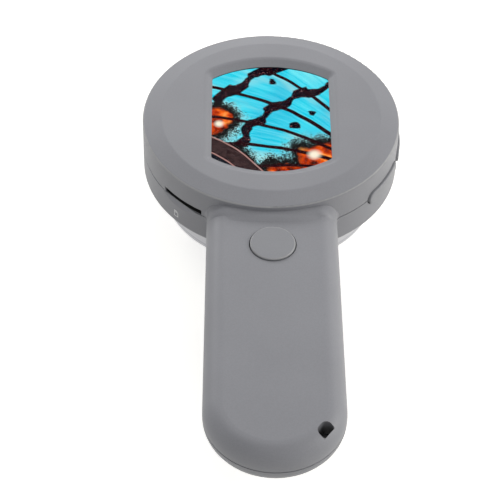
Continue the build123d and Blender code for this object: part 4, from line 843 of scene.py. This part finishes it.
# %% World
ROOM_STRENGTH = 0.59
world = bpy.data.worlds.new("studio")
bpy.context.scene.world = world
world.use_nodes = True
studio = Graph(world.node_tree)
room = studio.tree.nodes["Background"]
room.inputs["Color"].default_value = rgba(WHITE)
room.inputs["Strength"].default_value = ROOM_STRENGTH
white = studio.node("ShaderNodeBackground", {"Color": rgba(WHITE), "Strength": 1.0})
choice = enumerate((seen(studio), room.outputs[0], white.outputs[0]))
pick = studio.node("ShaderNodeMixShader", choice)
studio.plug(studio.tree.nodes["World Output"].inputs["Surface"], pick.outputs[0])
print("room light:", ROOM_STRENGTH)

# %% [markdown]
# ## Lamps
#
# Four soft lamps stand round the object, as in a small light tent.  Three are
# in a low row behind the head, so surfaces that lean back are light, those
# that lean forward are darker, and the light fades towards the handle's end.
# The strongest stands at the right.  None is where the screen's cover would
# mirror it to the camera.

# %% Lamps
HEAD_MIDDLE = Vector((0.0, 0.0, 0.02))
WARM_WHITE = (1.0, 0.98, 0.94)


def soft_lamp(name, place, size, power, colour=WHITE):
    """Square area lamp that faces the head."""
    data = bpy.data.lights.new(name, "AREA")
    data.size = size
    data.energy = power
    data.color = colour
    lamp = bpy.data.objects.new(name, data)
    lamp.location = place
    lamp.rotation_euler = (HEAD_MIDDLE - Vector(place)).to_track_quat("-Z", "Y").to_euler()
    bpy.context.scene.collection.objects.link(lamp)


soft_lamp("back_lamp", (-0.05, 0.62, 0.36), 0.2, 0.80)
soft_lamp("back_left_lamp", (-0.40, 0.50, 0.28), 0.2, 1.23)
soft_lamp("back_right_lamp", (0.40, 0.50, 0.28), 0.2, 0.45)
soft_lamp("right_lamp", (0.60, -0.03, 0.30), 0.3, 2.15, WARM_WHITE)
print("lamp power, W:", round(sum(lamp.energy for lamp in bpy.data.lights), 2))

# %% [markdown]
# ## Camera
#
# The object is seen from the handle's end, looking down at about 46 degrees.
# The camera's place and its three directions are given as numbers, in the
# model's frame, so the head, the handle and the hood fall where they should.
# A long lens keeps the handle's sides nearly parallel.

# %% Camera
CAMERA_PLACE = Vector((-13.4745, -440.5486, 425.3271)) * MM
IMAGE_RIGHT = Vector((0.99989510, -0.00333622, 0.01409446))
IMAGE_DOWN = Vector((0.00742952, -0.71719430, -0.69683366))
VIEW_DEPTH = Vector((0.01243327, 0.69686531, -0.71709416))
FOCAL_PIXELS = 1931.6
IMAGE_PIXELS = 500
SENSOR = 36.0
camera_data = bpy.data.cameras.new("camera")
camera_data.sensor_width = SENSOR
camera_data.lens = FOCAL_PIXELS * SENSOR / IMAGE_PIXELS
camera_data.clip_start = 0.01
camera = bpy.data.objects.new("camera", camera_data)
facing = Matrix((IMAGE_RIGHT, -IMAGE_DOWN, -VIEW_DEPTH)).transposed().to_4x4()
camera.matrix_world = Matrix.Translation(CAMERA_PLACE) @ facing
bpy.context.scene.collection.objects.link(camera)
bpy.context.scene.camera = camera
bpy.context.scene.view_settings.view_transform = "Standard"
print("lens, mm:", round(camera_data.lens, 1))

# %% [markdown]
